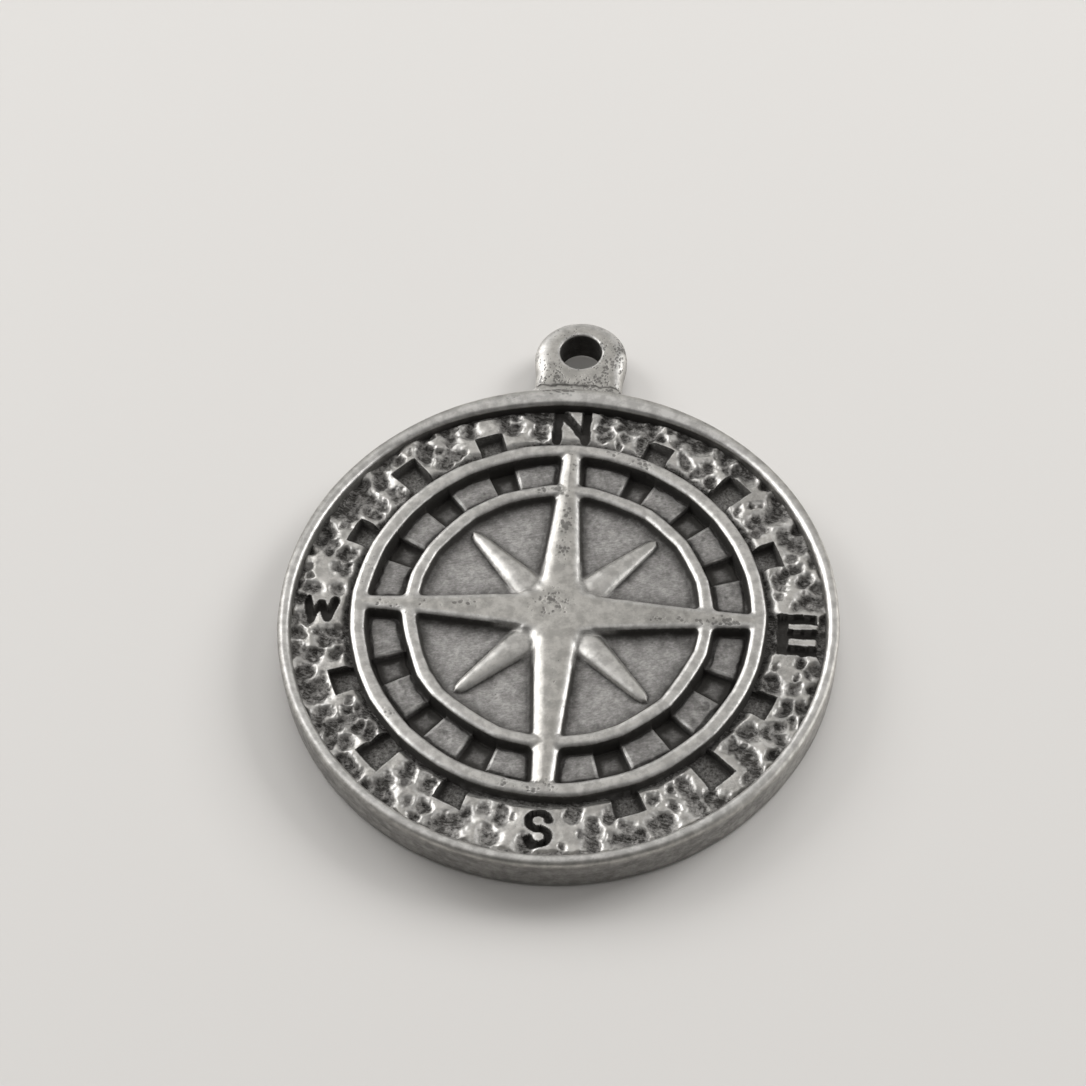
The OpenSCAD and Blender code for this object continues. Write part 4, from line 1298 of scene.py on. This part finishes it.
rose_silver = silver_finish(
    "rose_silver",
    {"Raggedness": 1.1, "Size": 3500.0},
    {"Size": 5000.0, "Crowd": 0.8, "Softness": 0.42},
    {"Turn": -0.25, "Size": 11000.0, "Length": 2.2},
    0.014, 0.008)
star.data.materials.append(rose_silver)
track.data.materials.append(rose_silver)
band.data.materials.append(silver_finish(
    "hammered_silver",
    {"Raggedness": 2.3, "Size": 7500.0},
    {"Size": 7500.0, "Crowd": 0.4},
    {"Turn": 0.2, "Size": 12500.0, "Length": 4.0},
    0.03, 0.02, 0.5))
body.data.materials.append(silver_finish(
    "rim_silver",
    {"Raggedness": 0.9, "Size": 2500.0},
    {"Size": 6500.0, "Crowd": 0.72, "Stretch": (0.5, 1.3, 1.0)},
    {"Turn": 0.2, "Size": 5000.0, "Length": 6.0},
    0.02, 0.006))
eye.data.materials.append(silver_finish(
    "eye_silver",
    {"Raggedness": 1.0, "Size": 2800.0},
    {"Size": 8500.0, "Crowd": 0.53, "Stretch": (0.9, 0.8, 1.0)},
    {"Turn": 0.1, "Size": 5000.0, "Length": 6.0},
    0.022, 0.01))
print("finishes:", [m.name for m in bpy.data.materials if "silver" in m.name])

# %% [markdown]
# ## Table and light
# Polished metal shows what surrounds it, so the light is arranged as for jewellery. Two soft boxes, left
# and right, are only there to be mirrored: bevels catch one of them and turn white, while flat tops
# mirror the even northern sky and stay grey. Four more lamps light the table and cast the shadows, and
# aren't mirrored. The south is dark, as a room is behind a camera. The table is plain and pale.

# %% Floor
TABLE_HALF = 1.5
TABLE_Z = -2e-5
floor_corners = [(TABLE_HALF * side_x, TABLE_HALF * side_y, TABLE_Z)
                 for side_x, side_y in ((-1, -1), (1, -1), (1, 1), (-1, 1))]
floor_mesh = bpy.data.meshes.new("floor")
floor_mesh.from_pydata(floor_corners, [], [(0, 1, 2, 3)])
floor = bpy.data.objects.new("floor", floor_mesh)
bpy.context.scene.collection.objects.link(floor)
table = bpy.data.materials.new("pale_table")
table.use_nodes = True
shader = table.node_tree.nodes["Principled BSDF"]
shader.inputs["Base Color"].default_value = (0.562, 0.548, 0.53, 1)
shader.inputs["Roughness"].default_value = 0.55
floor.data.materials.append(table)
print("table:", 2 * TABLE_HALF, "m wide, its top", -TABLE_Z / MM, "mm below the back")

# %% Sky: bright above and in the north, dark behind the camera
world = bpy.data.worlds.new("studio")
bpy.context.scene.world = world
world.use_nodes = True
sky_tree = world.node_tree
towards = add_node(sky_tree, "ShaderNodeSeparateXYZ")
sky_tree.links.new(add_node(sky_tree, "ShaderNodeTexCoord").outputs["Generated"], towards.inputs[0])
northward = math_node(sky_tree, "MULTIPLY_ADD", towards.outputs[2], 0.25, towards.outputs[1])
sky = sky_tree.nodes["Background"]
sky.inputs["Color"].default_value = (1.0, 0.985, 0.965, 1)
DARK_SKY = 0.125
BRIGHT_SKY = 0.6
sky_tree.links.new(smooth_map(sky_tree, northward, -0.6, 0.45, DARK_SKY, BRIGHT_SKY), sky.inputs["Strength"])
print("sky: strength from", DARK_SKY, "in the south to", BRIGHT_SKY, "in the north")

# %% Soft boxes
def soft_box(name, spot, size, watts, aim=(0, 0, 0)):
    """A rectangular light at a spot in metres, turned towards its aim."""
    data = bpy.data.lights.new(name, "AREA")
    data.shape = "RECTANGLE"
    data.size, data.size_y = size
    data.energy = watts
    lamp = bpy.data.objects.new(name, data)
    lamp.location = spot
    towards = [t - s for t, s in zip(aim, spot)]
    flat_length = math.hypot(towards[0], towards[1])
    lamp.rotation_euler = (math.atan2(flat_length, -towards[2]), 0, math.atan2(-towards[0], towards[1]))
    bpy.context.scene.collection.objects.link(lamp)
    return lamp


left_box = soft_box("left_box", (-0.42, 0.14, 0.23), (0.62, 0.46), 2.0)
right_box = soft_box("right_box", (0.5, 0.1, 0.12), (0.5, 0.24), 1.0)
north_box = soft_box("north_box", (0.0, 0.38, 0.34), (0.3, 0.3), 0.78)
left_fill = soft_box("left_fill", (-0.31, 0.24, 0.25), (0.2, 0.2), 0.85)
right_fill = soft_box("right_fill", (0.31, 0.24, 0.25), (0.2, 0.2), 1.45)
overhead = soft_box("overhead", (0.0, -0.04, 0.5), (0.16, 0.16), 0.22)
left_box.visible_diffuse = False
right_box.visible_diffuse = False
for lamp in (north_box, left_fill, right_fill, overhead):
    lamp.visible_glossy = False
bpy.context.scene.view_settings.view_transform = "Standard"
